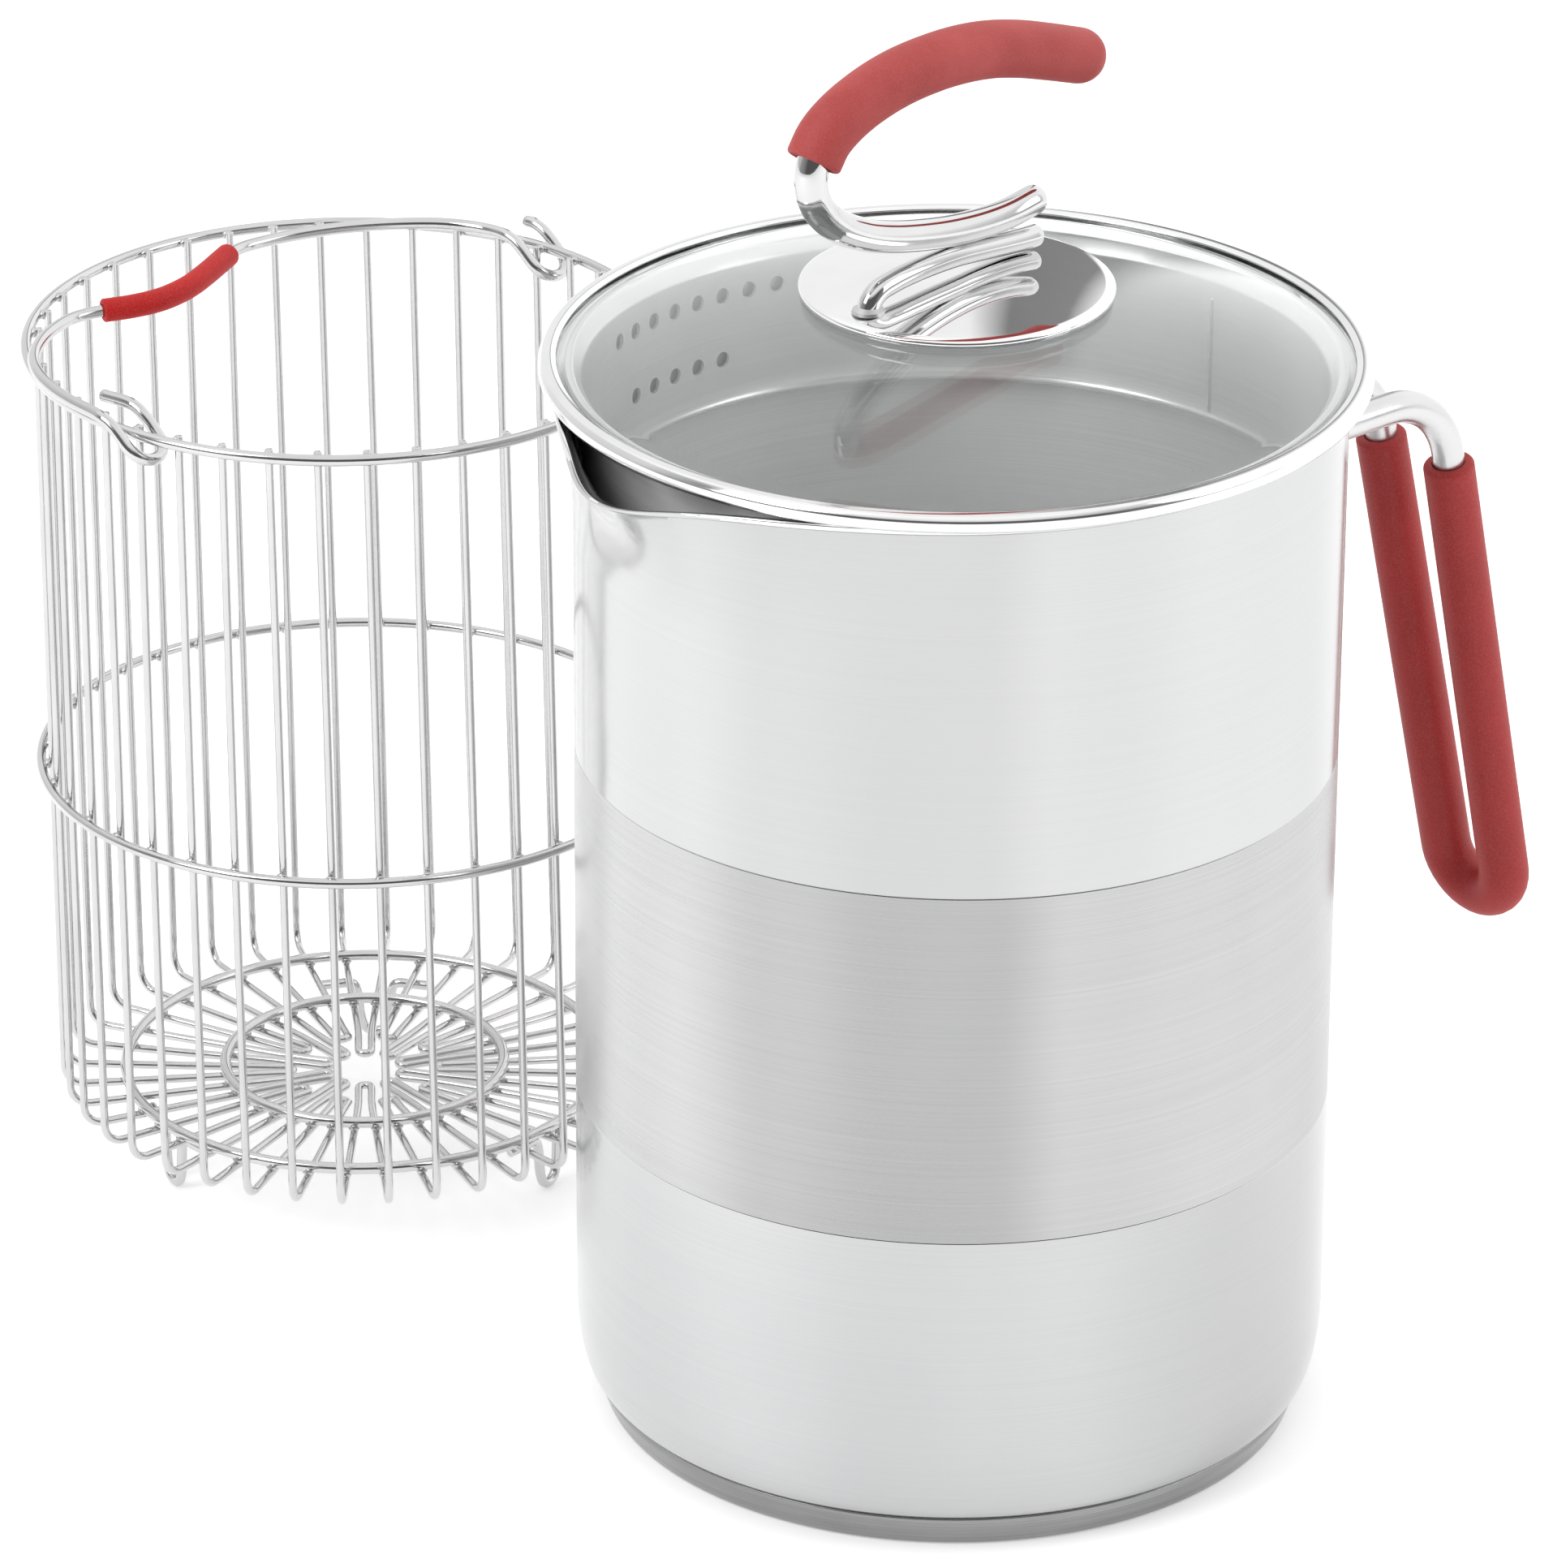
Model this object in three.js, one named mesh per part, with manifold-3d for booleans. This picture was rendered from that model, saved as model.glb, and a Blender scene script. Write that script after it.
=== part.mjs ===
// Stovetop fryer set: a tall pouring pot with a straining glass lid, and a wire basket
// with a folding bail that stands beside it. Millimetres, +Z up, origin at the centre
// of the pot's underside, which rests on the table.
import * as THREE from 'three';
import { mergeVertices } from 'three/addons/utils/BufferGeometryUtils.js';
import Module from 'manifold-3d';

const wasm = await Module();
wasm.setup();

// ---------------------------------------------------------------- driving dimensions
const GAP = 0.3;                    // clearance between pieces that touch
const HANDLE_AXIS = 40.5;           // azimuth of the pot handle
const SPOUT_AXIS = 219.8;           // the spout is opposite

const POT_R = 70;                   // outside radius of the body
const POT_WALL = 1.1;
const POT_RIM_Z = 204.8;
const BASE_TOP_Z = 6.6;             // underside of the body, on the capped base
const BASE_R = 66.6;
const BASE_FOOT_R = 64.9;
const CORNER_TOP_Z = 20;            // the bottom corner blends into the wall here

const SPOUT_FLARE = { reach: 8.6, width: 29.2 };    // wide flare beyond the wall, in degrees
const SPOUT_LOBE = { reach: 4.7, width: 10.6 };     // pouring lobe on top of the flare
const FLARE_START_Z = 176;

const HANDLE_ROD_R = 3.1;
const HANDLE_SLEEVE_R = 4.9;
const HANDLE_Z = 174.3;             // height where both legs leave the wall
const HANDLE_HALF_GAP = 9.2;        // legs' half spacing at the top
const HANDLE_TOP_REACH = 115.5;      // legs' distance from the pot's axis below the bend
const HANDLE_END_REACH = 137.6;     // and at the loop's bottom
const HANDLE_SLEEVE_Z = 158.2;
const HANDLE_END_Z = 59.8;
const HANDLE_BEND_R = 17;

const LID_X = -0.9;                 // the lid sits a little to one side of the pot's axis
const LID_R = 75.2;
const LID_BOTTOM_Z = 205.1;
const LID_TOP_Z = 208.6;
const LID_AXIS = 45;                // azimuth of the plane of the lid's handle
const GLASS_EDGE_R = 74.2;
const GLASS_DOME_R = 71;            // the dome starts inside this radius
const GLASS_EDGE_Z = 207.7;
const GLASS_APEX_Z = 222.7;
const GLASS_THICK = 2.4;
const LID_BORE_R = 2.9;

const COLLAR_R = 67.3;
const COLLAR_WALL = 0.6;
const COLLAR_BOTTOM_Z = 176.5;
const HOLE_R = 1.5;
const HOLE_PITCH = 5.17;            // degrees between strainer holes
const HOLE_AZIMUTHS = [135, 315];   // centres of the two groups of holes
const HOLE_ROWS = [{ z: 198.4, from: -4, to: 4 }, { z: 186, from: -3, to: 1 }];

const BOSS_R = 28.5;
const BOSS_EDGE_Z = 222;
const BOSS_APEX_Z = 224.2;
const LID_ROD_R = 2.8;
const LID_ARCH_R = 2.1;
const LID_SLEEVE_R = 5.1;

const BASKET_X = -115.2;
const BASKET_Y = 99.8;
const BASKET_LEAN = 0.0123;          // drift towards -X per millimetre of height
const UPRIGHT_MIDDLE_Z = 88;        // and no drift at this height
const WIRE_COUNT = 40;              // uprights; two of them are one hairpin wire
const WIRE_PHASE = 268;             // azimuth of one upright
const WIRE_R = 0.8;
const RING_WIRE_R = 1.1;
const TOP_RING_R = 60.5;
const TOP_RING_Z = 170.4;
const MID_RING_R = 61.2;
const MID_RING_Z = 83.9;
const MID_WIRE_R = 1.0;
const FLOOR_RING_Z = 16.2;
const FLOOR_OUTER_R = 47.3;
const FLOOR_INNER_R = 27.6;
const SPOKE_Z = FLOOR_RING_Z - RING_WIRE_R - WIRE_R - GAP;
const UPRIGHT_FOOT_R = 59.4;        // uprights lean in from this radius
const UPRIGHT_TOP_R = TOP_RING_R - RING_WIRE_R - WIRE_R - GAP;
const UPRIGHT_TOP_Z = 171.2;
const CORNER_BEND_R = 4;
const HAIRPIN_HALF = 1.3;           // half width of a hairpin's turn
const HAIRPIN_TIPS = [7, 14.2];     // long and short hairpins take turns
const FOOT_WIRE_R = 1.0;
const FOOT_R = 43.4;
const FOOT_AZIMUTHS = [90, 212, 328];

const BAIL_WIRE_R = 1.2;
const BAIL_Z = 173.3;               // the folded bail lies just above the top ring
const BAIL_AXIS_Z = 166.1;
const HOOK_R = 59.5;
const HOOK_AZIMUTHS = [236.5, 47.5];
const HOOK_HALF = 4.2;              // half spacing of a hook's two strands
const HOOK_RUN = 8;                 // strands rise over this length to the bail's level
const BAIL_GRIP_R = 2.3;

// ---------------------------------------------------------------- finishes
const STEEL = { color: 0xc9cacc, roughness: 0.32, metalness: 1 };
const POLISHED = { color: 0xe2e3e5, roughness: 0.08, metalness: 1 };
const WIRE = { color: 0xd5d6d8, roughness: 0.2, metalness: 1 };
const ALUMINIUM = { color: 0xa9abae, roughness: 0.5, metalness: 1 };
const SILICONE = { color: 0xb3262b, roughness: 0.6, metalness: 0 };
const SEAL = { color: 0x8e9193, roughness: 0.7, metalness: 0 };
const GLASS = { color: 0xdfe5e3, roughness: 0.05, metalness: 0, transparent: true, opacity: 0.35 };

// ---------------------------------------------------------------- helpers
const rad = (degrees) => degrees * Math.PI / 180;

function polar(r, azimuth, z) {
  return new THREE.Vector3(r * Math.cos(rad(azimuth)), r * Math.sin(rad(azimuth)), z);
}

// A path with one station for each point, so a swept tube gets one section per point.
class StationPath extends THREE.Curve {
  constructor(points) {
    super();
    this.points = points;
  }

  getPoint(t, target = new THREE.Vector3()) {
    const last = this.points.length - 1;
    const i = Math.min(Math.floor(t * last), last - 1);
    return target.lerpVectors(this.points[i], this.points[i + 1], t * last - i);
  }

  getPointAt(t, target) {
    return this.getPoint(t, target);
  }

  getTangentAt(t, target = new THREE.Vector3()) {
    const last = this.points.length - 1;
    const i = Math.round(t * last);
    const before = this.points[Math.max(i - 1, 0)];
    const here = this.points[i];
    const after = this.points[Math.min(i + 1, last)];
    const inward = here.clone().sub(before).normalize();
    const outward = after.clone().sub(here).normalize();
    return target.copy(inward).add(outward).normalize();
  }
}

function circleShape(radius, sides, boreRadius = 0) {
  const ring = (r) => Array.from({ length: sides }, (_, i) => new THREE.Vector2(
    r * Math.cos(2 * Math.PI * i / sides), r * Math.sin(2 * Math.PI * i / sides)));
  const shape = new THREE.Shape(ring(radius));
  if (boreRadius > 0) shape.holes.push(new THREE.Path(ring(boreRadius)));
  return shape;
}

// A round rod, or a sleeve with a bore, along the given points.
function rod(points, radius, sides, boreRadius = 0) {
  return new THREE.ExtrudeGeometry(circleShape(radius, sides, boreRadius), {
    steps: points.length - 1,
    extrudePath: new StationPath(points),
  });
}

// A smooth curve through a few points, sampled evenly.
function smooth(points, count) {
  return new THREE.CatmullRomCurve3(points, false, 'centripetal').getSpacedPoints(count);
}

// A body of revolution about Z from [radius, height] pairs.
function turned(profile, segments) {
  const points = profile.map(([r, z]) => new THREE.Vector2(r, z));
  return new THREE.LatheGeometry(points, segments).rotateX(Math.PI / 2);
}

function torus(ringRadius, wireRadius, z, segments, sides) {
  return new THREE.TorusGeometry(ringRadius, wireRadius, sides, segments).translate(0, 0, z);
}

// Keeps only positions, merges the seams and turns every face outwards.
function sealed(geometry) {
  const plain = geometry.clone();
  plain.deleteAttribute('normal');
  plain.deleteAttribute('uv');
  const merged = mergeVertices(plain, 1e-4);
  const at = merged.getAttribute('position');
  const old = merged.getIndex().array;
  const kept = [];
  let volume = 0;
  const [a, b, c] = [new THREE.Vector3(), new THREE.Vector3(), new THREE.Vector3()];
  for (let i = 0; i < old.length; i += 3) {
    const [p, q, r] = [old[i], old[i + 1], old[i + 2]];
    if (p === q || q === r || r === p) continue;
    kept.push(p, q, r);
    a.fromBufferAttribute(at, p);
    b.fromBufferAttribute(at, q);
    c.fromBufferAttribute(at, r);
    volume += a.dot(b.cross(c));
  }
  merged.setIndex(volume < 0 ? kept.reverse() : kept);
  return merged;
}

function toManifold(geometry) {
  const closed = sealed(geometry);
  return new wasm.Manifold(new wasm.Mesh({
    numProp: 3,
    vertProperties: new Float32Array(closed.getAttribute('position').array),
    triVerts: new Uint32Array(closed.getIndex().array),
  }));
}

function fromManifold(solid) {
  const mesh = solid.getMesh();
  const geometry = new THREE.BufferGeometry();
  geometry.setAttribute('position', new THREE.BufferAttribute(mesh.vertProperties, 3));
  geometry.setIndex(new THREE.BufferAttribute(mesh.triVerts, 1));
  return geometry;
}

function part(name, geometry, finish) {
  const mesh = new THREE.Mesh(sealed(geometry), new THREE.MeshStandardMaterial(finish));
  mesh.name = name;
  return mesh;
}

// ---------------------------------------------------------------- pot
// How far the wall stands out at an angle from the spout and a height.
function spoutReach(offAxis, z) {
  const rise = THREE.MathUtils.clamp((z - FLARE_START_Z) / (POT_RIM_Z - FLARE_START_Z), 0, 1);
  const bell = (shape) => shape.reach * Math.exp(-((offAxis / shape.width) ** 2));
  return bell(SPOUT_FLARE) * rise ** 1.6 + bell(SPOUT_LOBE) * rise ** 1.9;
}

function potBody() {
  const cornerRows = [90, 60, 30];
  const outerCorner = cornerRows.map((t) => [
    BASE_R + 0.3 + (POT_R - BASE_R - 0.3) * Math.cos(rad(t)),
    CORNER_TOP_Z - (CORNER_TOP_Z - BASE_TOP_Z) * Math.sin(rad(t)),
  ]);
  const flareRows = [CORNER_TOP_Z, FLARE_START_Z, 184, 192, 198];
  const inner = POT_R - POT_WALL;
  const profile = [
    [0, BASE_TOP_Z],
    ...outerCorner,
    ...flareRows.map((z) => [POT_R, z]),
    [POT_R, 202], [POT_R + 1.2, 203.6], [POT_R + 1.1, POT_RIM_Z], [POT_R - 0.1, POT_RIM_Z],
    [inner, 203],
    ...flareRows.slice().reverse().map((z) => [inner, z]),
    [inner - 0.9, 11.5], [inner - 3.6, BASE_TOP_Z + 1.2], [0, BASE_TOP_Z + 1.2],
  ];
  const body = turned(profile, 54);
  const at = body.getAttribute('position');
  for (let i = 0; i < at.count; i += 1) {
    const r = Math.hypot(at.getX(i), at.getY(i));
    const azimuth = Math.atan2(at.getY(i), at.getX(i));
    // Columns crowd towards the spout, where the wall bends most.
    const even = Math.atan2(Math.sin(azimuth - rad(SPOUT_AXIS)),
      Math.cos(azimuth - rad(SPOUT_AXIS)));
    const off = even - 0.6 * Math.sin(even);
    const z = at.getZ(i);
    const grown = r > POT_R - 10 ? r + spoutReach(off * 180 / Math.PI, z) : r;
    const turn = off + rad(SPOUT_AXIS);
    // The lip sinks where the wall is drawn outwards.
    const sunk = z - (grown - r) ** 2 / (2 * (POT_RIM_Z - FLARE_START_Z));
    at.setXYZ(i, grown * Math.cos(turn), grown * Math.sin(turn), sunk);
  }
  return body;
}

function baseCap() {
  return turned([
    [0, 0], [BASE_FOOT_R - 1, 0], [BASE_FOOT_R, 0.9], [BASE_R, 5.2], [BASE_R, 6.2],
    [BASE_R - 0.8, 6.2], [BASE_R - 0.8, 5.3], [BASE_FOOT_R - 0.7, 1.1], [0, 1.0],
  ], 40);
}

function baseCore() {
  return turned([[0, 1.3], [63.6, 1.3], [63.6, 6.2], [0, 6.2]], 40);
}

// The handle lies in a frame turned to its own azimuth: X away from the pot, Y across.
function handleLoop(startReach) {
  const lean = (HANDLE_END_REACH - HANDLE_TOP_REACH) / (HANDLE_SLEEVE_Z - HANDLE_END_Z);
  const bend = [0, 20, 40, 60, 78].map((t) => [
    HANDLE_TOP_REACH - HANDLE_BEND_R * (1 - Math.sin(rad(t))),
    HANDLE_Z - HANDLE_BEND_R * (1 - Math.cos(rad(t))),
  ]);
  const endHalf = 8;
  const turnZ = HANDLE_END_Z + endHalf;
  const legEnd = [HANDLE_END_REACH - lean * endHalf, turnZ];
  const leg = [[startReach, HANDLE_Z], ...bend, [HANDLE_TOP_REACH, HANDLE_SLEEVE_Z], legEnd];
  const halfAt = (z) => THREE.MathUtils.mapLinear(Math.min(z, HANDLE_SLEEVE_Z),
    turnZ, HANDLE_SLEEVE_Z, endHalf, HANDLE_HALF_GAP);
  const near = leg.map(([x, z]) => new THREE.Vector3(x, -halfAt(z), z));
  const turn = [-60, -30, 0, 30, 60].map((t) => new THREE.Vector3(
    HANDLE_END_REACH - lean * endHalf * (1 - Math.cos(rad(t))),
    endHalf * Math.sin(rad(t)),
    turnZ - endHalf * Math.cos(rad(t)),
  ));
  const far = near.map((p) => new THREE.Vector3(p.x, -p.y, p.z)).reverse();
  return [...near, ...turn, ...far];
}

function potHandle() {
  const handle = new THREE.Group();
  handle.rotation.z = rad(HANDLE_AXIS);
  const loop = handleLoop(POT_R + 0.2);
  const sleeved = loop.filter((p) => p.z <= HANDLE_SLEEVE_Z);
  handle.add(
    part('pot_handle_rod', rod(loop, HANDLE_ROD_R, 8), POLISHED),
    part('pot_handle_sleeve', rod(sleeved, HANDLE_SLEEVE_R, 8, HANDLE_ROD_R + 0.45), SILICONE),
  );
  return handle;
}

// ---------------------------------------------------------------- lid
function glassTop(r) {
  return GLASS_APEX_Z - (GLASS_APEX_Z - GLASS_EDGE_Z) * (r / GLASS_DOME_R) ** 2;
}

function lidGlass() {
  const rings = [LID_BORE_R, 22, 40, 55, 65];
  return turned([
    ...rings.map((r) => [r, glassTop(r)]),
    [GLASS_DOME_R, GLASS_EDGE_Z], [GLASS_EDGE_R, GLASS_EDGE_Z],
    [GLASS_EDGE_R, 205.9], [GLASS_DOME_R - 1, 205.9],
    ...rings.slice().reverse().map((r) => [r, glassTop(r) - GLASS_THICK]),
    [LID_BORE_R, glassTop(LID_BORE_R)],
  ], 48);
}

function lidRim() {
  const slotOuter = GLASS_EDGE_R + 0.3;
  return turned([
    [72.2, LID_BOTTOM_Z], [74.5, LID_BOTTOM_Z], [LID_R, 205.8], [LID_R, 207.8],
    [74.5, LID_TOP_Z], [72.7, LID_TOP_Z], [72, 208.2], [72, 208], [slotOuter, 208],
    [slotOuter, 205.6], [72.2, 205.6], [72.2, LID_BOTTOM_Z],
  ], 48);
}

// A skirt with a rolled lower edge and two groups of strainer holes.
function strainerCollar() {
  const inside = COLLAR_R - COLLAR_WALL;
  const skirt = turned([
    [COLLAR_R, 178.4], [COLLAR_R, 203.2], [68.8, LID_BOTTOM_Z],
    [71.8, LID_BOTTOM_Z], [71.8, 205.6], [68.5, 205.6], [inside, 203.4],
    [inside, 178.4], [66.2, 177.8], [66.2, 177], [66.9, COLLAR_BOTTOM_Z], [67.6, 177],
    [67.6, 177.9], [COLLAR_R, 178.4],
  ], 54);
  let solid = toManifold(skirt);
  for (const centre of HOLE_AZIMUTHS) {
    for (const row of HOLE_ROWS) {
      for (let i = row.from; i <= row.to; i += 1) {
        const drill = new THREE.CylinderGeometry(HOLE_R, HOLE_R, 4, 6)
          .rotateZ(Math.PI / 2)
          .translate(COLLAR_R, 0, row.z)
          .rotateZ(rad(centre - i * HOLE_PITCH));
        solid = solid.subtract(toManifold(drill));
      }
    }
  }
  return fromManifold(solid);
}

function lidBoss() {
  const bossTop = (r) => BOSS_APEX_Z - (BOSS_APEX_Z - BOSS_EDGE_Z) * (r / BOSS_R) ** 2;
  const rings = [0, 12, 21];
  return turned([
    ...rings.map((r) => [r, bossTop(r)]),
    [BOSS_R - 0.6, bossTop(BOSS_R - 0.6)], [BOSS_R, BOSS_EDGE_Z - 0.5],
    [BOSS_R, glassTop(BOSS_R) + GAP + 0.1],
    ...rings.slice().reverse().map((r) => [r, glassTop(r) + GAP]),
  ], 36);
}

// Points of the lid's handle: distance along its plane and height.
const inHandlePlane = (pairs) => pairs.map(([s, z]) => new THREE.Vector3(s, 0, z));
const LID_ROD_LOWER = inHandlePlane([
  [19.4, 232.7], [13.3, 231.9], [6.9, 231.8], [-0.8, 232.4], [-8.5, 233.6],
  [-17.3, 235.6], [-24.6, 238.1], [-31, 241.6], [-35.6, 246.2], [-37.3, 251],
]);
const LID_ROD_UPPER = inHandlePlane([
  [-36.5, 255.4], [-34.1, 258.6], [-30.1, 261.2], [-24, 263.5], [-16.5, 265.1],
  [-8.4, 265.7], [-0.2, 265.5], [7.5, 264.5], [15.2, 262.6], [22.3, 260.3], [30.6, 257.4],
]);
const LID_ARCH = inHandlePlane([
  [-22.6, 225.1], [-20.4, 226], [-16.9, 226.8], [-11.9, 227.3],
  [-5.9, 227.5], [-0.4, 227.4], [5.3, 226.9], [12.4, 226.2], [17.6, 225.8], [20, 225.7],
]);

// A sleeve with a blind bore: the outside follows the rod and its free end is rounded.
function lidSleeve() {
  const along = smooth(LID_ROD_UPPER, 12);
  const tip = along[along.length - 1];
  const heading = tip.clone().sub(along[along.length - 2]).normalize();
  const cap = new THREE.SphereGeometry(LID_SLEEVE_R, 8, 6)
    .translate(tip.x + heading.x, 0, tip.z + heading.z);
  const whole = toManifold(rod([...along, tip.clone().add(heading)], LID_SLEEVE_R, 8))
    .add(toManifold(cap));
  const before = along[0].clone().add(along[0].clone().sub(along[1]));
  return fromManifold(whole.subtract(toManifold(rod([before, ...along], LID_ROD_R + 0.4, 8))));
}

function lidHandle() {
  const handle = new THREE.Group();
  handle.rotation.z = rad(LID_AXIS);
  const rodPath = smooth([...LID_ROD_LOWER, ...LID_ROD_UPPER], 30);
  rodPath.pop();
  handle.add(
    part('lid_handle_upper_rod', rod(rodPath, LID_ROD_R, 8), POLISHED),
    part('lid_handle_lower_rod', rod(smooth(LID_ARCH, 12), LID_ARCH_R, 8), POLISHED),
    part('lid_handle_sleeve', lidSleeve(), SILICONE),
  );
  return handle;
}

function lidScrew() {
  return turned([
    [0, 215.3], [3.2, 215.3], [4.2, 216.1], [4.2, 217.3], [2.4, 217.3], [2.4, 222.7], [0, 222.7],
  ], 12);
}

function flatRing(inner, outer, low, high, segments) {
  return turned([[inner, low], [outer, low], [outer, high], [inner, high], [inner, low]], segments);
}

function lid() {
  const group = new THREE.Group();
  group.position.x = LID_X;
  group.add(
    part('lid_glass', lidGlass(), GLASS),
    part('lid_rim', lidRim(), POLISHED),
    part('strainer_collar', strainerCollar(), STEEL),
    part('lid_boss', lidBoss(), POLISHED),
    lidHandle(),
    part('lid_screw', lidScrew(), STEEL),
    part('lid_washer', flatRing(LID_BORE_R, 7.5, 217.6, 218.3, 20), STEEL),
    part('lid_seal', flatRing(LID_BORE_R, 8.5, 218.6, 219.5, 20), SEAL),
  );
  return group;
}

// ---------------------------------------------------------------- basket
// One wire: up, round the corner, in under the floor rings, and back out beside itself.
function hairpin(tip) {
  const half = 360 / WIRE_COUNT / 2;
  const straightFrom = HAIRPIN_HALF / Math.sin(rad(half));
  const side = [
    polar(UPRIGHT_TOP_R, half, UPRIGHT_TOP_Z),
    polar(UPRIGHT_FOOT_R, half, SPOKE_Z + CORNER_BEND_R),
    ...[30, 60, 90].map((t) => polar(
      UPRIGHT_FOOT_R - CORNER_BEND_R * (1 - Math.cos(rad(t))), half,
      SPOKE_Z + CORNER_BEND_R * (1 - Math.sin(rad(t))))),
    new THREE.Vector3(straightFrom * Math.cos(rad(half)), HAIRPIN_HALF, SPOKE_Z),
    new THREE.Vector3(tip + HAIRPIN_HALF, HAIRPIN_HALF, SPOKE_Z),
  ];
  const turn = [45, 0, -45].map((t) => new THREE.Vector3(
    tip + HAIRPIN_HALF * (1 - Math.cos(rad(t))), HAIRPIN_HALF * Math.sin(rad(t)), SPOKE_Z));
  const back = side.map((p) => new THREE.Vector3(p.x, -p.y, p.z)).reverse();
  return rod([...side, ...turn, ...back], WIRE_R, 6);
}

// A foot: a short arc welded under the spokes, with a dip in the middle down to the table.
function basketFoot() {
  const archZ = SPOKE_Z - WIRE_R - FOOT_WIRE_R - GAP;
  const half = [
    polar(FOOT_R, 15, archZ), polar(FOOT_R, 10, archZ), polar(FOOT_R, 5.6, archZ),
    polar(FOOT_R, 4.6, archZ - 0.8), polar(FOOT_R, 3.6, 3.6), polar(FOOT_R, 2.4, 1.7),
  ];
  const middle = polar(FOOT_R, 0, FOOT_WIRE_R + 0.05);
  const mirrored = half.map((p) => new THREE.Vector3(p.x, -p.y, p.z)).reverse();
  return rod([...half, middle, ...mirrored], FOOT_WIRE_R, 6);
}

// The bail's own frame: C along the hinge line from hook to hook, M towards the grip.
const HOOKS = HOOK_AZIMUTHS.map((azimuth) => polar(HOOK_R, azimuth, BAIL_AXIS_Z));
const HINGE_LINE = HOOKS[1].clone().sub(HOOKS[0]).normalize();
const TOWARDS_GRIP = new THREE.Vector3(-HINGE_LINE.y, HINGE_LINE.x, 0);

// One hook from the free end, round under the top ring, to the level of the bail.
// The free strand is on the side of the hinge line given by its sign.
function hook(centre, freeSide, freeLength) {
  const rise = new THREE.Vector2(HOOK_RUN, BAIL_Z - BAIL_AXIS_Z);
  const local = (c, m, up) => centre.clone()
    .addScaledVector(HINGE_LINE, c)
    .addScaledVector(TOWARDS_GRIP, m)
    .add(new THREE.Vector3(0, 0, up));
  const onStrand = (c, along) => local(c, along * rise.x, along * rise.y);
  const turnFrom = HOOK_HALF / rise.length();
  const turn = [75, 50, 25, 0, -25, -50, -75].map((t) => onStrand(
    freeSide * HOOK_HALF * Math.sin(rad(t)), turnFrom * (1 - Math.cos(rad(t)))));
  return [
    local(freeSide * HOOK_HALF, rise.x + freeLength, rise.y),
    local(freeSide * HOOK_HALF, rise.x + 1.2, rise.y),
    onStrand(freeSide * HOOK_HALF, 0.86),
    onStrand(freeSide * HOOK_HALF, turnFrom + 0.04),
    ...turn,
    onStrand(-freeSide * HOOK_HALF, turnFrom + 0.04),
    onStrand(-freeSide * HOOK_HALF, 0.86),
    local(-freeSide * HOOK_HALF, rise.x + 1.2, rise.y),
  ];
}

// The folded bail in plan, seen from above, about the basket's centre.
const flat = (pairs) => pairs.map(([x, y]) => new THREE.Vector3(x, y, BAIL_Z));
const BAIL_NEAR_ARM = flat([
  [-44.9, -44.2], [-48.9, -39.4], [-52.6, -33.8], [-55.7, -27.2], [-57.5, -19.5],
  [-57.4, -12.5], [-55.6, -5], [-51.6, 2.4],
]);
const BAIL_GRIP = flat([
  [-45.8, 6.4], [-40.6, 8.6], [-35.4, 12.2], [-30.8, 18.3], [-27.6, 25.4], [-25.4, 31.3],
  [-23.9, 35.4],
]);
const BAIL_FAR_ARM = flat([
  [-21.4, 39.4], [-16.6, 43.2], [-9.2, 47.4], [0, 50.9], [9.4, 52.6], [17.6, 52.6],
  [25.4, 50.2],
]);

function bailWire() {
  const near = hook(HOOKS[0], 1, 8.4);
  const far = hook(HOOKS[1], 1, 3.4).reverse();
  return rod([...near, ...BAIL_NEAR_ARM, ...BAIL_GRIP, ...BAIL_FAR_ARM, ...far], BAIL_WIRE_R, 6);
}

function bailGrip() {
  return rod(BAIL_GRIP, BAIL_GRIP_R, 8, BAIL_WIRE_R + 0.35);
}

// A piece of the basket, turned to its azimuth and leaning with the rest.
function leaning(name, geometry, finish, azimuth = 0) {
  const lean = new THREE.Matrix4().set(
    1, 0, -BASKET_LEAN, BASKET_LEAN * UPRIGHT_MIDDLE_Z, 0, 1, 0, 0, 0, 0, 1, 0, 0, 0, 0, 1);
  return part(name, geometry.rotateZ(rad(azimuth)).applyMatrix4(lean), finish);
}

function basket() {
  const group = new THREE.Group();
  group.position.set(BASKET_X, BASKET_Y, 0);
  group.add(
    leaning('basket_top_ring', torus(TOP_RING_R, RING_WIRE_R, TOP_RING_Z, 48, 6), WIRE),
    leaning('basket_mid_ring', torus(MID_RING_R, MID_WIRE_R, MID_RING_Z, 48, 6), WIRE),
    leaning('basket_floor_outer_ring',
      torus(FLOOR_OUTER_R, RING_WIRE_R, FLOOR_RING_Z, 36, 6), WIRE),
    leaning('basket_floor_inner_ring',
      torus(FLOOR_INNER_R, RING_WIRE_R, FLOOR_RING_Z, 28, 6), WIRE),
  );
  const hairpins = WIRE_COUNT / 2;
  for (let i = 0; i < hairpins; i += 1) {
    const name = `basket_wire_${String(i + 1).padStart(2, '0')}`;
    const azimuth = WIRE_PHASE + (i + 0.25) * 360 / hairpins;
    group.add(leaning(name, hairpin(HAIRPIN_TIPS[i % 2]), WIRE, azimuth));
  }
  FOOT_AZIMUTHS.forEach((azimuth, i) => {
    group.add(leaning(`basket_foot_${i + 1}`, basketFoot(), WIRE, azimuth));
  });
  group.add(
    leaning('bail_wire', bailWire(), WIRE),
    leaning('bail_grip', bailGrip(), SILICONE),
  );
  return group;
}

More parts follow.
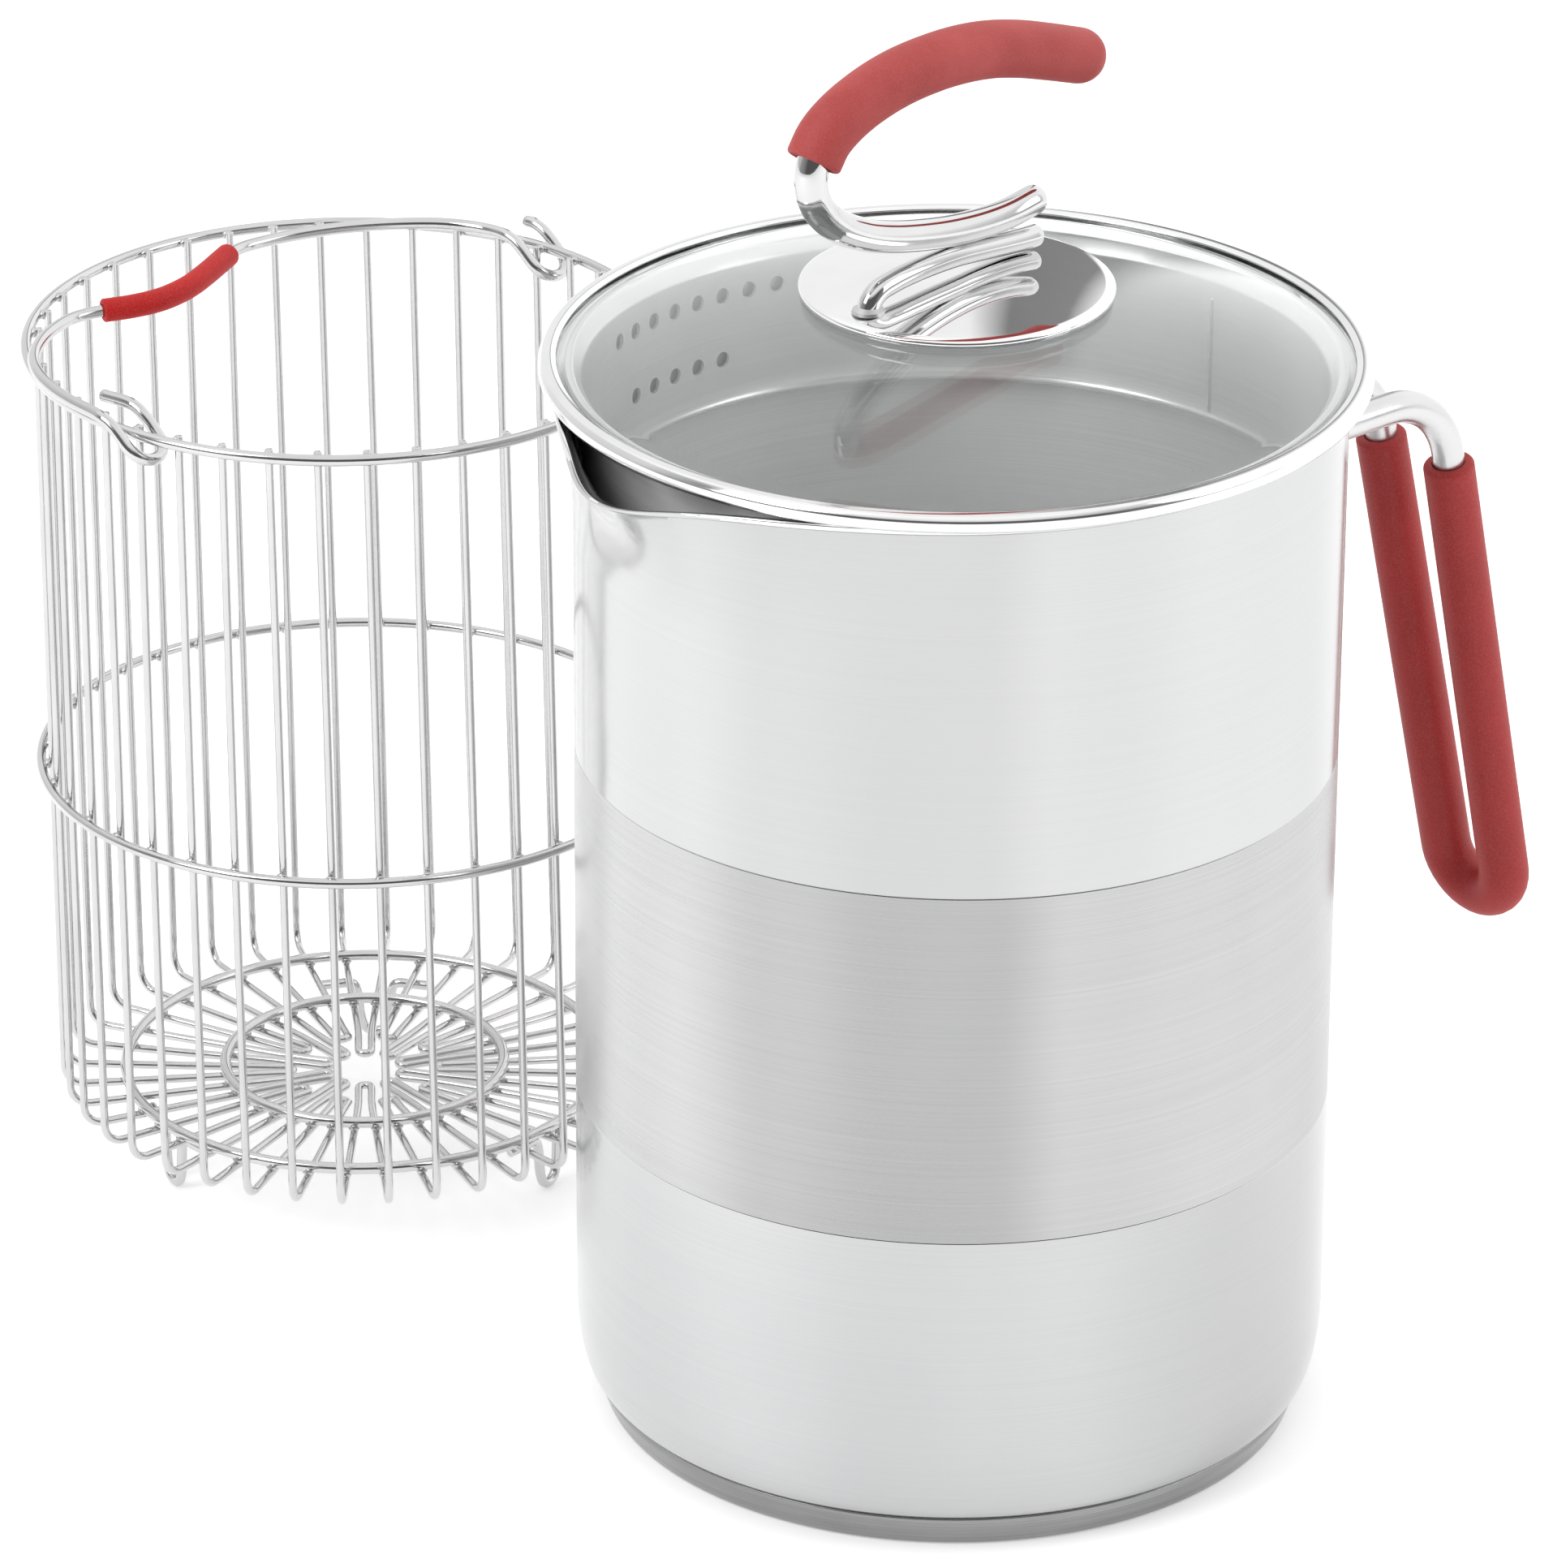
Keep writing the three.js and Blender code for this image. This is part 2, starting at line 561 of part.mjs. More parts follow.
// ---------------------------------------------------------------- assembly
const set = new THREE.Group();
set.add(
  part('pot_body', potBody(), STEEL),
  part('base_cap', baseCap(), STEEL),
  part('base_core', baseCore(), ALUMINIUM),
  potHandle(),
  lid(),
  basket(),
);

export default set;
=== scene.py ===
"""Looks for the stovetop fryer set: tall pouring pot, straining glass lid, wire basket with bail.

Every piece is made here in millimetres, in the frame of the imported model, and stands in for
its CAD node with a finer surface. Shapes follow the same driving dimensions as the CAD model.
"""
import math

import bpy
import numpy as np
from mathutils import Matrix, Vector


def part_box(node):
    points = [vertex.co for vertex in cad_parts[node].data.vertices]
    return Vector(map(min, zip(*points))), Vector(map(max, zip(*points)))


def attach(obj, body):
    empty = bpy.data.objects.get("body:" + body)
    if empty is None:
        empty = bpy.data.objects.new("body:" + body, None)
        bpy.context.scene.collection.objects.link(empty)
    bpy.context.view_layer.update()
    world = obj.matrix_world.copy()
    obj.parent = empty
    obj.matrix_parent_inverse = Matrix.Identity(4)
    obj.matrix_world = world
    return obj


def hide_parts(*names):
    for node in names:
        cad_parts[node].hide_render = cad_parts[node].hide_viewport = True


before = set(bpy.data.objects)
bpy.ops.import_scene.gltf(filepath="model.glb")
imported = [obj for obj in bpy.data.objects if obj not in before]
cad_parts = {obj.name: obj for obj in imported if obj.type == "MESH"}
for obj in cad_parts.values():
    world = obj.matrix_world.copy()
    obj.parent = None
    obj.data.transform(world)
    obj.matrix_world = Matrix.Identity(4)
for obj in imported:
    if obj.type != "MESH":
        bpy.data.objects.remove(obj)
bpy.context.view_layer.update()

MM = 0.001
RNG = np.random.default_rng(7)      # small irregularities of the hand-laid wires


def box_mm(node):
    """Lowest and highest corner of a CAD node, in millimetres."""
    low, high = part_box(node)
    return np.array(low) / MM, np.array(high) / MM


# ---------------------------------------------------------------- driving dimensions
HANDLE_AXIS = 40.5                  # azimuth of the pot handle
SPOUT_AXIS = 219.8                  # the spout is opposite
POT_R = 70.0
POT_WALL = 1.1
POT_RIM_Z = box_mm("pot_body")[1][2]
BASE_TOP_Z = box_mm("pot_body")[0][2]
BASE_R = 66.6
BASE_FOOT_R = 64.9
CORNER_TOP_Z = 20.0
BAND_TOP_Z = 133.1                  # the darker brushed band runs between these heights
BAND_BOTTOM_Z = 64.6
SPOUT_FLARE = (8.6, 29.2)           # reach in millimetres, width in degrees
SPOUT_LOBE = (4.7, 10.6)
FLARE_START_Z = 176.0
LIP_START_Z = 203.0                 # the wall begins to roll outwards
INNER_LIP_Z = 203.4
POT_FLOOR_THICK = 1.2
POT_INNER_CORNER_R = 9.0
BAND_GROOVE = 0.08

HANDLE_ROD_R = 3.1
HANDLE_SLEEVE_R = 4.9
HANDLE_Z = 174.3
HANDLE_HALF_GAP = 9.2
HANDLE_TOP_REACH = 115.5
HANDLE_END_REACH = 137.6
HANDLE_SLEEVE_Z = 158.2
HANDLE_END_Z = 59.8
HANDLE_BEND_R = 17.0
HANDLE_BEND_ANGLE = 78.0
HANDLE_STRAIGHT_END = 98.0          # the legs run straight out to here
HANDLE_END_HALF = 8.0               # half the gap at the bottom of the loop

LID_X = -0.9                        # the lid sits a little to one side
LID_R = 75.2
LID_BOTTOM_Z = box_mm("lid_rim")[0][2]
LID_TOP_Z = box_mm("lid_rim")[1][2]
LID_AXIS = 45.0
GLASS_EDGE_R = 74.2
GLASS_DOME_R = 71.0
GLASS_EDGE_Z = 207.7
GLASS_APEX_Z = 222.7
GLASS_THICK = 2.4
GLASS_UNDER_Z = 205.9               # the underside of its edge
RIM_INNER_R = 71.9                  # the rim's folds grip the glass from here outwards
RIM_SLOT_Z = 205.6
LID_BORE_R = 2.9
COLLAR_R = 67.3
COLLAR_WALL = 0.6
COLLAR_FOOT_Z = 178.4               # the skirt ends here in a rolled edge
COLLAR_ROLL = (66.95, 177.2, 0.75)  # centre and radius of the roll
COLLAR_SEAM_AZIMUTH = 44.0
HOLE_R = 1.5
HOLE_PITCH = 5.17
HOLE_AZIMUTHS = (135, 315)
HOLE_ROWS = ((198.4, -4, 4), (186.0, -3, 1))
BOSS_R = 28.5
BOSS_EDGE_Z = 222.0
BOSS_APEX_Z = 224.2
LID_ROD_R = 2.8
LID_ARCH_R = 2.1
LID_SLEEVE_R = 5.1

BASKET = np.array([-115.2, 99.8, 0.0])
BASKET_LEAN = 0.0123                # drift towards -X per millimetre of height
UPRIGHT_MIDDLE_Z = 88.0             # and no drift at this height
WIRE_COUNT = 40
WIRE_PHASE = 268.0
WIRE_R = 0.8
RING_WIRE_R = 1.1
TOP_RING_R = 60.5
TOP_RING_Z = 170.4
MID_RING_R = 61.2
MID_RING_Z = 83.9
MID_WIRE_R = 1.0
FLOOR_RING_Z = 16.2
FLOOR_OUTER_R = 47.3
FLOOR_INNER_R = 27.6
SPOKE_Z = 14.0
UPRIGHT_FOOT_R = 59.4
UPRIGHT_TOP_R = 58.3
UPRIGHT_TOP_Z = 171.2
CORNER_BEND_R = 4.0
HAIRPIN_HALF = 1.3
HAIRPIN_TIPS = (7.0, 14.2)
FOOT_WIRE_R = 1.0
FOOT_R = 43.4
FOOT_AZIMUTHS = (90, 212, 328)
BAIL_WIRE_R = 1.2
BAIL_Z = 173.3
BAIL_AXIS_Z = 166.1
HOOK_R = 59.5
HOOK_AZIMUTHS = (236.5, 47.5)
HOOK_HALF = 4.2
HOOK_RUN = 8.0
BAIL_GRIP_R = 2.3


# ---------------------------------------------------------------- geometry helpers
def polar(r, azimuth, z=0.0):
    a = math.radians(azimuth)
    return np.array([r * math.cos(a), r * math.sin(a), z])


def turn_z(points, azimuth):
    a = math.radians(azimuth)
    c, s = math.cos(a), math.sin(a)
    turn = np.array([[c, -s, 0], [s, c, 0], [0, 0, 1]])
    return np.asarray(points, float) @ turn.T


def smooth_path(points, spacing):
    """A centripetal Catmull-Rom curve through the points, resampled at an even spacing."""
    p = np.asarray(points, float)
    p = np.vstack([2 * p[0] - p[1], p, 2 * p[-1] - p[-2]])
    knots = np.concatenate([[0], np.cumsum(np.linalg.norm(np.diff(p, axis=0), axis=1) ** 0.5)])
    fine = []
    for i in range(1, len(p) - 2):
        for t in np.linspace(knots[i], knots[i + 1], 16, endpoint=False):
            fine.append(catmull_point(p[i - 1:i + 3], knots[i - 1:i + 3], t))
    fine.append(p[-2])
    return resample(np.array(fine), spacing)


def catmull_point(p, k, t):
    a = [(k[i + 1] - t) / (k[i + 1] - k[i]) * p[i] + (t - k[i]) / (k[i + 1] - k[i]) * p[i + 1]
         for i in range(3)]
    b = [(k[i + 2] - t) / (k[i + 2] - k[i]) * a[i] + (t - k[i]) / (k[i + 2] - k[i]) * a[i + 1]
         for i in range(2)]
    return (k[2] - t) / (k[2] - k[1]) * b[0] + (t - k[1]) / (k[2] - k[1]) * b[1]


def resample(points, spacing):
    steps = np.linalg.norm(np.diff(points, axis=0), axis=1)
    along = np.concatenate([[0], np.cumsum(steps)])
    count = max(2, round(along[-1] / spacing) + 1)
    at = np.linspace(0, along[-1], count)
    return np.stack([np.interp(at, along, points[:, i]) for i in range(3)], axis=1)


def fillet(points, steps=5):
    """A 2D outline with round corners, from (x, y) or (x, y, corner radius) points."""
    out = []
    for i, point in enumerate(points):
        here = np.array(point[:2], float)
        radius = point[2] if len(point) > 2 else 0
        if radius == 0 or i in (0, len(points) - 1):
            out.append(here)
            continue
        before = np.array(points[i - 1][:2], float) - here
        after = np.array(points[i + 1][:2], float) - here
        reach_a, reach_b = np.linalg.norm(before), np.linalg.norm(after)
        before, after = before / reach_a, after / reach_b
        half = math.acos(max(-1.0, min(1.0, float(before @ after)))) / 2
        if half > math.radians(89):
            out.append(here)
            continue
        back = min(radius / math.tan(half), 0.49 * reach_a, 0.49 * reach_b)
        middle = before + after
        centre = here + middle / np.linalg.norm(middle) * back / math.cos(half)
        start, end = here + before * back - centre, here + after * back - centre
        a0 = math.atan2(start[1], start[0])
        sweep_angle = math.atan2(start[0] * end[1] - start[1] * end[0], float(start @ end))
        r = np.linalg.norm(start)
        for t in np.linspace(0, 1, steps):
            a = a0 + sweep_angle * t
            out.append(centre + r * np.array([math.cos(a), math.sin(a)]))
    return out


def tube_rings(path, radii, sides, closed=False):
    """Circles round a path, carried along it without twist."""
    path = np.asarray(path, float)
    if closed:
        tangents = np.roll(path, -1, axis=0) - np.roll(path, 1, axis=0)
    else:
        tangents = np.gradient(path, axis=0)
    tangents /= np.linalg.norm(tangents, axis=1)[:, None]
    first = np.array([0.0, 0.0, 1.0]) if abs(tangents[0][2]) < 0.9 else np.array([1.0, 0.0, 0.0])
    normal = first - tangents[0] * (first @ tangents[0])
    rings = []
    angles = np.arange(sides) * 2 * math.pi / sides
    for centre, tangent, radius in zip(path, tangents, radii):
        normal = normal - tangent * (normal @ tangent)
        normal /= np.linalg.norm(normal)
        side = np.cross(tangent, normal)
        rings.append(centre + radius * (np.cos(angles)[:, None] * normal
                                        + np.sin(angles)[:, None] * side))
    return rings, tangents


def bridge(rings, closed=False):
    """Quads between rings of equal size. A single-point ring is a pole."""
    verts = []
    starts = []
    for ring in rings:
        starts.append(len(verts))
        verts.extend(np.atleast_2d(ring))
    sizes = [len(np.atleast_2d(ring)) for ring in rings]
    faces = []
    pairs = list(zip(range(len(rings) - 1), range(1, len(rings))))
    if closed:
        pairs.append((len(rings) - 1, 0))
    for a, b in pairs:
        n = max(sizes[a], sizes[b])
        for i in range(n):
            j = (i + 1) % n
            corners = [starts[a] + i % sizes[a], starts[a] + j % sizes[a],
                       starts[b] + j % sizes[b], starts[b] + i % sizes[b]]
            faces.append(list(dict.fromkeys(corners)))
    return verts, faces


def rod(path, radius, sides=20, start=1.0, end=1.0, steps=5):
    """A round rod with domed ends. start and end give the domes' heights in radii."""
    radii = np.broadcast_to(np.asarray(radius, float), (len(path),))
    rings, tangents = tube_rings(path, radii, sides)
    path = np.asarray(path, float)

    def dome(i, direction, height):
        rows = []
        for t in np.linspace(0, 1, steps + 1)[1:]:
            a = t * math.pi / 2
            centre = path[i] + direction * radii[i] * height * math.sin(a)
            if t == 1:
                rows.append(centre[None, :])
            else:
                rows.append(centre + (rings[i] - path[i]) * math.cos(a))
        return rows

    head = dome(0, -tangents[0], start)[::-1]
    tail = dome(len(path) - 1, tangents[-1], end)
    return bridge([*head, *rings, *tail])


def sleeve(path, radius, bore, sides=24, lip=0.5):
    """A thick-walled sleeve with rounded lips at both open ends."""
    count = len(path)
    outer, tangents = tube_rings(path, [radius] * count, sides)
    inner, _ = tube_rings(path, [bore] * count, sides)
    path = np.asarray(path, float)

    def lip_rows(i, direction):
        rows = []
        for t in np.linspace(0, 1, 5)[1:]:
            a = t * math.pi / 2
            centre = path[i] + direction * lip * math.sin(a)
            rows.append(centre + (outer[i] - path[i]) * (1 - lip / radius * (1 - math.cos(a))))
        return rows

    head = lip_rows(0, -tangents[0])
    tail = lip_rows(count - 1, tangents[-1])
    inner[0] = inner[0] - tangents[0] * lip
    inner[-1] = inner[-1] + tangents[-1] * lip
    return bridge([*inner[::-1], *head[::-1], *outer, *tail], closed=True)


def closed_ring(radius, wire, z, segments=160, sides=14):
    angles = np.arange(segments) * 360 / segments
    path = [polar(radius, a, z) for a in angles]
    rings, _ = tube_rings(path, [wire] * segments, sides, closed=True)
    return bridge(rings, closed=True)


def turned(profile, segments, closed=False, azimuths=None, reach=None):
    """A body of revolution. reach(azimuth, r, z) can move a point outwards."""
    if azimuths is None:
        azimuths = np.arange(segments) * 360 / segments
    rings = []
    for r, z in profile:
        if r < 1e-6:
            rings.append(np.array([[0.0, 0.0, z]]))
            continue
        outwards = [reach(a, r, z) if reach else 0.0 for a in azimuths]
        sink = 2 * (POT_RIM_Z - FLARE_START_Z)      # the lip sinks where it is drawn out
        ring = [polar(r + out, a, z - out ** 2 / sink) for a, out in zip(azimuths, outwards)]
        rings.append(np.array(ring))
    return bridge(rings, closed=closed)


def joined(*solids):
    verts, faces = [], []
    for solid_verts, solid_faces in solids:
        base = len(verts)
        verts.extend(solid_verts)
        faces.extend([[base + i for i in face] for face in solid_faces])
    return verts, faces


def bead(centre, size, axis=(0, 0, 1), rows=5, sides=10):
    """A small weld nugget: an ellipsoid of the given half sizes, long axis along axis."""
    axis = np.asarray(axis, float)
    axis = axis / np.linalg.norm(axis)
    side = np.cross(axis, [0, 0, 1] if abs(axis[2]) < 0.9 else [1, 0, 0])
    side /= np.linalg.norm(side)
    across = np.cross(axis, side)
    rings = []
    for t in np.linspace(-90, 90, rows + 2):
        a = math.radians(t)
        middle = np.asarray(centre) + axis * size[0] * math.sin(a)
        if abs(t) == 90:
            rings.append(middle[None, :])
            continue
        angles = np.arange(sides) * 2 * math.pi / sides
        rings.append(middle + math.cos(a) * (np.cos(angles)[:, None] * side * size[1]
                                             + np.sin(angles)[:, None] * across * size[2]))
    return bridge(rings)


# ---------------------------------------------------------------- making pieces
def piece(name, solid, material, body, replaced=(), sharp=35.0, regions=None):
    """A mesh object from millimetre vertices. regions(face centre) picks among materials."""
    verts, faces = solid
    verts = np.array(verts, float)
    if body == "lid":
        verts[:, 0] += LID_X
    elif body in ("basket", "bail"):
        verts[:, 0] -= BASKET_LEAN * (verts[:, 2] - UPRIGHT_MIDDLE_Z)
    mesh = bpy.data.meshes.new(name)
    mesh.from_pydata([Vector(v) * MM for v in verts], [], faces)
    mesh.validate()
    materials = material if isinstance(material, (list, tuple)) else [material]
    for one in materials:
        mesh.materials.append(one)
    obj = new_object(name, mesh)
    make_outward(mesh)
    if regions:
        for polygon in mesh.polygons:
            polygon.material_index = regions(np.array(polygon.center) / MM,
                                             np.array(polygon.normal))
    mesh.polygons.foreach_set("use_smooth", [True] * len(mesh.polygons))
    mesh.set_sharp_from_angle(angle=math.radians(sharp))
    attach(obj, body)
    if replaced:
        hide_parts(*replaced)
    return obj


def new_object(name, data):
    obj = bpy.data.objects.new(name, data)
    bpy.context.scene.collection.objects.link(obj)
    return obj


def make_outward(mesh):
    """Turns the faces of a closed mesh outwards."""
    mesh.calc_loop_triangles()
    corners = np.array([v.co for v in mesh.vertices])
    tris = np.array([t.vertices for t in mesh.loop_triangles])
    a, b, c = corners[tris[:, 0]], corners[tris[:, 1]], corners[tris[:, 2]]
    if np.einsum("ij,ij->i", a, np.cross(b, c)).sum() < 0:
        mesh.flip_normals()


# ---------------------------------------------------------------- materials
class Surface:
    """A Principled material with short calls for its procedural nodes."""

    def __init__(self, name, **constants):
        self.material = bpy.data.materials.new(name)
        self.material.use_nodes = True
        self.tree = self.material.node_tree
        self.shader = self.tree.nodes["Principled BSDF"]
        for socket, value in constants.items():
            self.shader.inputs[socket.replace("_", " ")].default_value = value
        self.coords = self.tree.nodes.new("ShaderNodeTexCoord").outputs["Object"]

    def node(self, kind, **settings):
        made = self.tree.nodes.new(kind)
        for key, value in settings.items():
            setattr(made, key, value)
        return made

    def link(self, source, target):
        self.tree.links.new(source, target)

    def noise(self, stretch, detail=3.0, rough=0.55):
        """Noise over the object's own space; stretch is its frequency per metre along XYZ."""
        mapping = self.node("ShaderNodeMapping")
        mapping.inputs["Scale"].default_value = stretch
        self.link(self.coords, mapping.inputs["Vector"])
        noise = self.node("ShaderNodeTexNoise")
        noise.inputs["Scale"].default_value = 1.0
        noise.inputs["Detail"].default_value = detail
        noise.inputs["Roughness"].default_value = rough
        self.link(mapping.outputs["Vector"], noise.inputs["Vector"])
        return noise.outputs["Fac"]

    def spread(self, value, low, high, start=0.25, stop=0.75):
        """Maps start..stop of a value to low..high."""
        made = self.node("ShaderNodeMapRange")
        self.link(value, made.inputs["Value"])
        made.inputs["From Min"].default_value = start
        made.inputs["From Max"].default_value = stop
        made.inputs["To Min"].default_value = low
        made.inputs["To Max"].default_value = high
        return made.outputs["Result"]

    def math(self, operation, a, b):
        made = self.node("ShaderNodeMath", operation=operation)
        for socket, value in zip(made.inputs, (a, b)):
            if isinstance(value, (int, float)):
                socket.default_value = value
            else:
                self.link(value, socket)
        return made.outputs["Value"]

    def height(self):
        split = self.node("ShaderNodeSeparateXYZ")
        self.link(self.coords, split.inputs["Vector"])
        return split.outputs["Z"]

    def across(self, stops):
        """Painted reflections: soft streaks of lighter and darker tone along X, fixed to the
        object, from (millimetres, value) pairs.
        """
        split = self.node("ShaderNodeSeparateXYZ")
        self.link(self.coords, split.inputs["Vector"])
        low, high = stops[0][0], stops[-1][0]
        ramp = self.node("ShaderNodeValToRGB")
        elements = ramp.color_ramp.elements
        for _ in stops[1:-1]:
            elements.new(0.5)
        for element, (at, value) in zip(elements, stops):
            element.position = (at - low) / (high - low)
            element.color = (value, value, value, 1)
        ramp.color_ramp.interpolation = "EASE"
        self.link(self.spread(split.outputs["X"], 0, 1, low * MM, high * MM), ramp.inputs["Fac"])
        return ramp.outputs["Color"]

    def tinted(self, colour, shade):
        """A colour multiplied by a shade."""
        made = self.node("ShaderNodeMix", data_type="RGBA", blend_type="MULTIPLY")
        made.inputs["Factor"].default_value = 1.0
        self.link(colour, made.inputs[6])
        self.link(shade, made.inputs[7])
        return made.outputs[2]

    def blend(self, factor, dark, light):
        """A colour between two, by a factor."""
        made = self.node("ShaderNodeMix", data_type="RGBA")
        self.link(factor, made.inputs["Factor"])
        for socket, value in ((made.inputs[6], dark), (made.inputs[7], light)):
            if isinstance(value, tuple):
                socket.default_value = (*value, 1)
            else:
                self.link(value, socket)
        return made.outputs[2]

    def bump(self, height, distance, strength=1.0):
        made = self.node("ShaderNodeBump")
        made.inputs["Strength"].default_value = strength
        made.inputs["Distance"].default_value = distance
        self.link(height, made.inputs["Height"])
        self.link(made.outputs["Normal"], self.shader.inputs["Normal"])

    def set(self, socket, source):
        self.link(source, self.shader.inputs[socket])


def brushed_body():
    """Satin steel, brushed round the pot, with one darker and coarser band; every zone carries soft
    vertical streaks of painted reflection along X.
    """
    s = Surface("Brushed steel body with painted reflections", Metallic=1.0, Anisotropic=0.5)
    z = s.height()
    edge = 0.15 * MM
    above = s.spread(z, 0, 1, BAND_BOTTOM_Z * MM - edge, BAND_BOTTOM_Z * MM + edge)
    below = s.spread(z, 1, 0, BAND_TOP_Z * MM - edge, BAND_TOP_Z * MM + edge)
    band = s.math("MULTIPLY", above, below)
    lines = s.noise((12, 12, 5600), detail=2.0)
    streaks = s.noise((8, 8, 2400), detail=3.0)
    cloud = s.noise((22, 22, 9), detail=2.0)
    grain = s.math("ADD", s.spread(lines, -0.35, 0.35), s.spread(streaks, -0.22, 0.22))
    tone = s.spread(s.math("ADD", grain, s.spread(cloud, -0.5, 0.5)), 0, 1, -1.1, 1.1)

    # Each zone: its brushed tone times soft vertical streaks of painted reflection along X.
    def zone(deep, bright, painted_reflection_stops):
        return s.tinted(s.blend(tone, deep, bright), s.across(painted_reflection_stops))

    upper = zone((0.6, 0.605, 0.61), (0.67, 0.67, 0.67),
                 [(-66, 0.96), (-50, 0.92), (-34, 0.8), (-12, 0.79), (3, 0.8), (17, 0.88),
                  (58, 0.91), (66, 0.88)])
    dark = zone((0.44, 0.44, 0.445), (0.57, 0.57, 0.575),
                [(-66, 1.15), (-52, 1.08), (-34, 0.83), (-12, 0.77), (6, 0.77), (20, 0.95),
                 (66, 1.0)])
    lower = zone((0.55, 0.555, 0.56), (0.64, 0.64, 0.645),
                 [(-66, 0.98), (-50, 0.96), (-12, 0.87), (6, 0.88), (20, 0.9), (50, 0.78),
                  (66, 0.88)])
    plain = s.blend(above, lower, upper)
    s.set("Base Color", s.blend(band, plain, dark))
    base_rough = s.spread(band, 0.14, 0.26, 0, 1)
    s.set("Roughness", s.math("ADD", base_rough, s.spread(tone, 0.04, -0.03, 0, 1)))
    s.bump(s.math("ADD", lines, s.math("MULTIPLY", streaks, 0.3)), 0.003 * MM, 0.5)
    return s.material


def satin_steel(name, tone, rough, around=True, metal=1.0):
    """Fine circular turning marks, or an even satin grain."""
    s = Surface(name, Metallic=metal, Anisotropic=0.4)
    lines = s.noise((14, 14, 5200) if around else (900, 900, 900), detail=2.0)
    cloud = s.noise((40, 40, 60), detail=2.0)
    mix = s.spread(s.math("ADD", lines, s.math("MULTIPLY", cloud, 0.5)), 0, 1, 0.45, 1.05)
    s.set("Base Color", s.blend(mix, (tone - 0.08,) * 3, (tone + 0.05, tone + 0.05, tone + 0.055)))
    s.set("Roughness", s.spread(mix, rough + 0.05, rough - 0.05, 0, 1))
    s.bump(lines, 0.001 * MM, 0.3)
    return s.material


def polished_steel(name, tone, rough, wear=900.0):
    """Polished steel with faint hazy patches and hairline variation."""
    s = Surface(name, Metallic=1.0)
    haze = s.noise((60, 60, 60), detail=3.0)
    fine = s.noise((wear, wear, wear), detail=2.0)
    s.set("Base Color", s.blend(s.spread(haze, 0, 1), (tone - 0.05,) * 3,
                                (tone + 0.03, tone + 0.03, tone + 0.035)))
    s.set("Roughness", s.math("ADD", s.spread(haze, rough * 0.6, rough * 1.5),
                              s.spread(fine, -0.01, 0.015)))
    s.bump(haze, 0.02 * MM, 0.25)
    return s.material


def red_silicone(name, deep, bright):
    """Matte moulded silicone: faint mottling, a dusty bloom, the fine grain of its mould."""
    s = Surface(name, Roughness=0.55, Specular_IOR_Level=0.22)
    mottle = s.noise((70, 70, 45), detail=3.0)
    grain = s.noise((2600, 2600, 2600), detail=2.0)
    dust = s.spread(s.noise((3200, 3200, 3200), detail=3.0, rough=0.7), 0, 0.3, 0.45, 0.75)
    red = s.blend(s.spread(mottle, 0, 1, 0.3, 0.7), deep, bright)
    s.set("Base Color", s.blend(dust, red, (0.5, 0.19, 0.17)))
    s.set("Roughness", s.math("ADD", s.spread(mottle, 0.48, 0.6), s.spread(grain, -0.03, 0.03)))
    s.bump(grain, 0.02 * MM, 0.35)
    return s.material


def clear_glass():
    """Clear tempered glass that lets lamps through to what it covers."""
    s = Surface("Clear lid glass", Roughness=0.01, IOR=1.38, Transmission_Weight=1.0)
    smear = s.noise((30, 30, 30), detail=2.0)
    s.set("Base Color", s.blend(s.spread(smear, 0, 1), (0.93, 0.95, 0.94), (0.97, 0.98, 0.975)))
    path = s.node("ShaderNodeLightPath")
    clear = s.node("ShaderNodeBsdfTransparent")
    clear.inputs["Color"].default_value = (0.96, 0.97, 0.965, 1)
    shown = s.shader.outputs["BSDF"]
    for ray in ("Is Shadow Ray", "Is Diffuse Ray"):
        mix = s.node("ShaderNodeMixShader")
        s.link(path.outputs[ray], mix.inputs["Fac"])
        s.link(shown, mix.inputs[1])
        s.link(clear.outputs["BSDF"], mix.inputs[2])
        shown = mix.outputs["Shader"]
    s.link(shown, s.tree.nodes["Material Output"].inputs["Surface"])
    return s.material


def soft_seal():
    """Matte rubber with a fine even grain."""
    s = Surface("Grey seal rubber", Roughness=0.7)
    grain = s.noise((1500, 1500, 1500))
    s.set("Base Color", s.blend(s.spread(grain, 0, 1), (0.2, 0.2, 0.205), (0.29, 0.29, 0.295)))
    s.bump(grain, 0.03 * MM, 0.4)
    return s.material


BODY = brushed_body()
INSIDE = satin_steel("Satin steel inside", tone=0.9, rough=0.34, metal=0.5)
MIRROR = polished_steel("Mirror polished steel", tone=0.87, rough=0.035)
ROD = polished_steel("Polished rod steel", tone=0.66, rough=0.07)
SATIN_ROD = polished_steel("Satin rod steel", tone=0.66, rough=0.26)
RIM = polished_steel("Polished rim steel", tone=0.83, rough=0.12)
COLLAR = satin_steel("Collar steel", tone=0.85, rough=0.22, metal=0.5)
WIRE = polished_steel("Polished wire steel", tone=0.62, rough=0.13)
WELD = polished_steel("Weld steel", tone=0.6, rough=0.3, wear=2500.0)
HARDWARE = satin_steel("Turned hardware steel", tone=0.6, rough=0.3)
CORE = satin_steel("Aluminium core", tone=0.62, rough=0.45, around=False)
HANDLE_RED = red_silicone("Red silicone", (0.35, 0.028, 0.029), (0.42, 0.038, 0.037))
# The lid sleeve's red silicone, made paler as painted sheen.
LID_RED_PAINTED_SHEEN = red_silicone("Red silicone with painted sheen", (0.4, 0.052, 0.05), (0.51, 0.088, 0.085))
GRIP_RED = red_silicone("Bright red silicone", (0.43, 0.006, 0.006), (0.53, 0.01, 0.009))
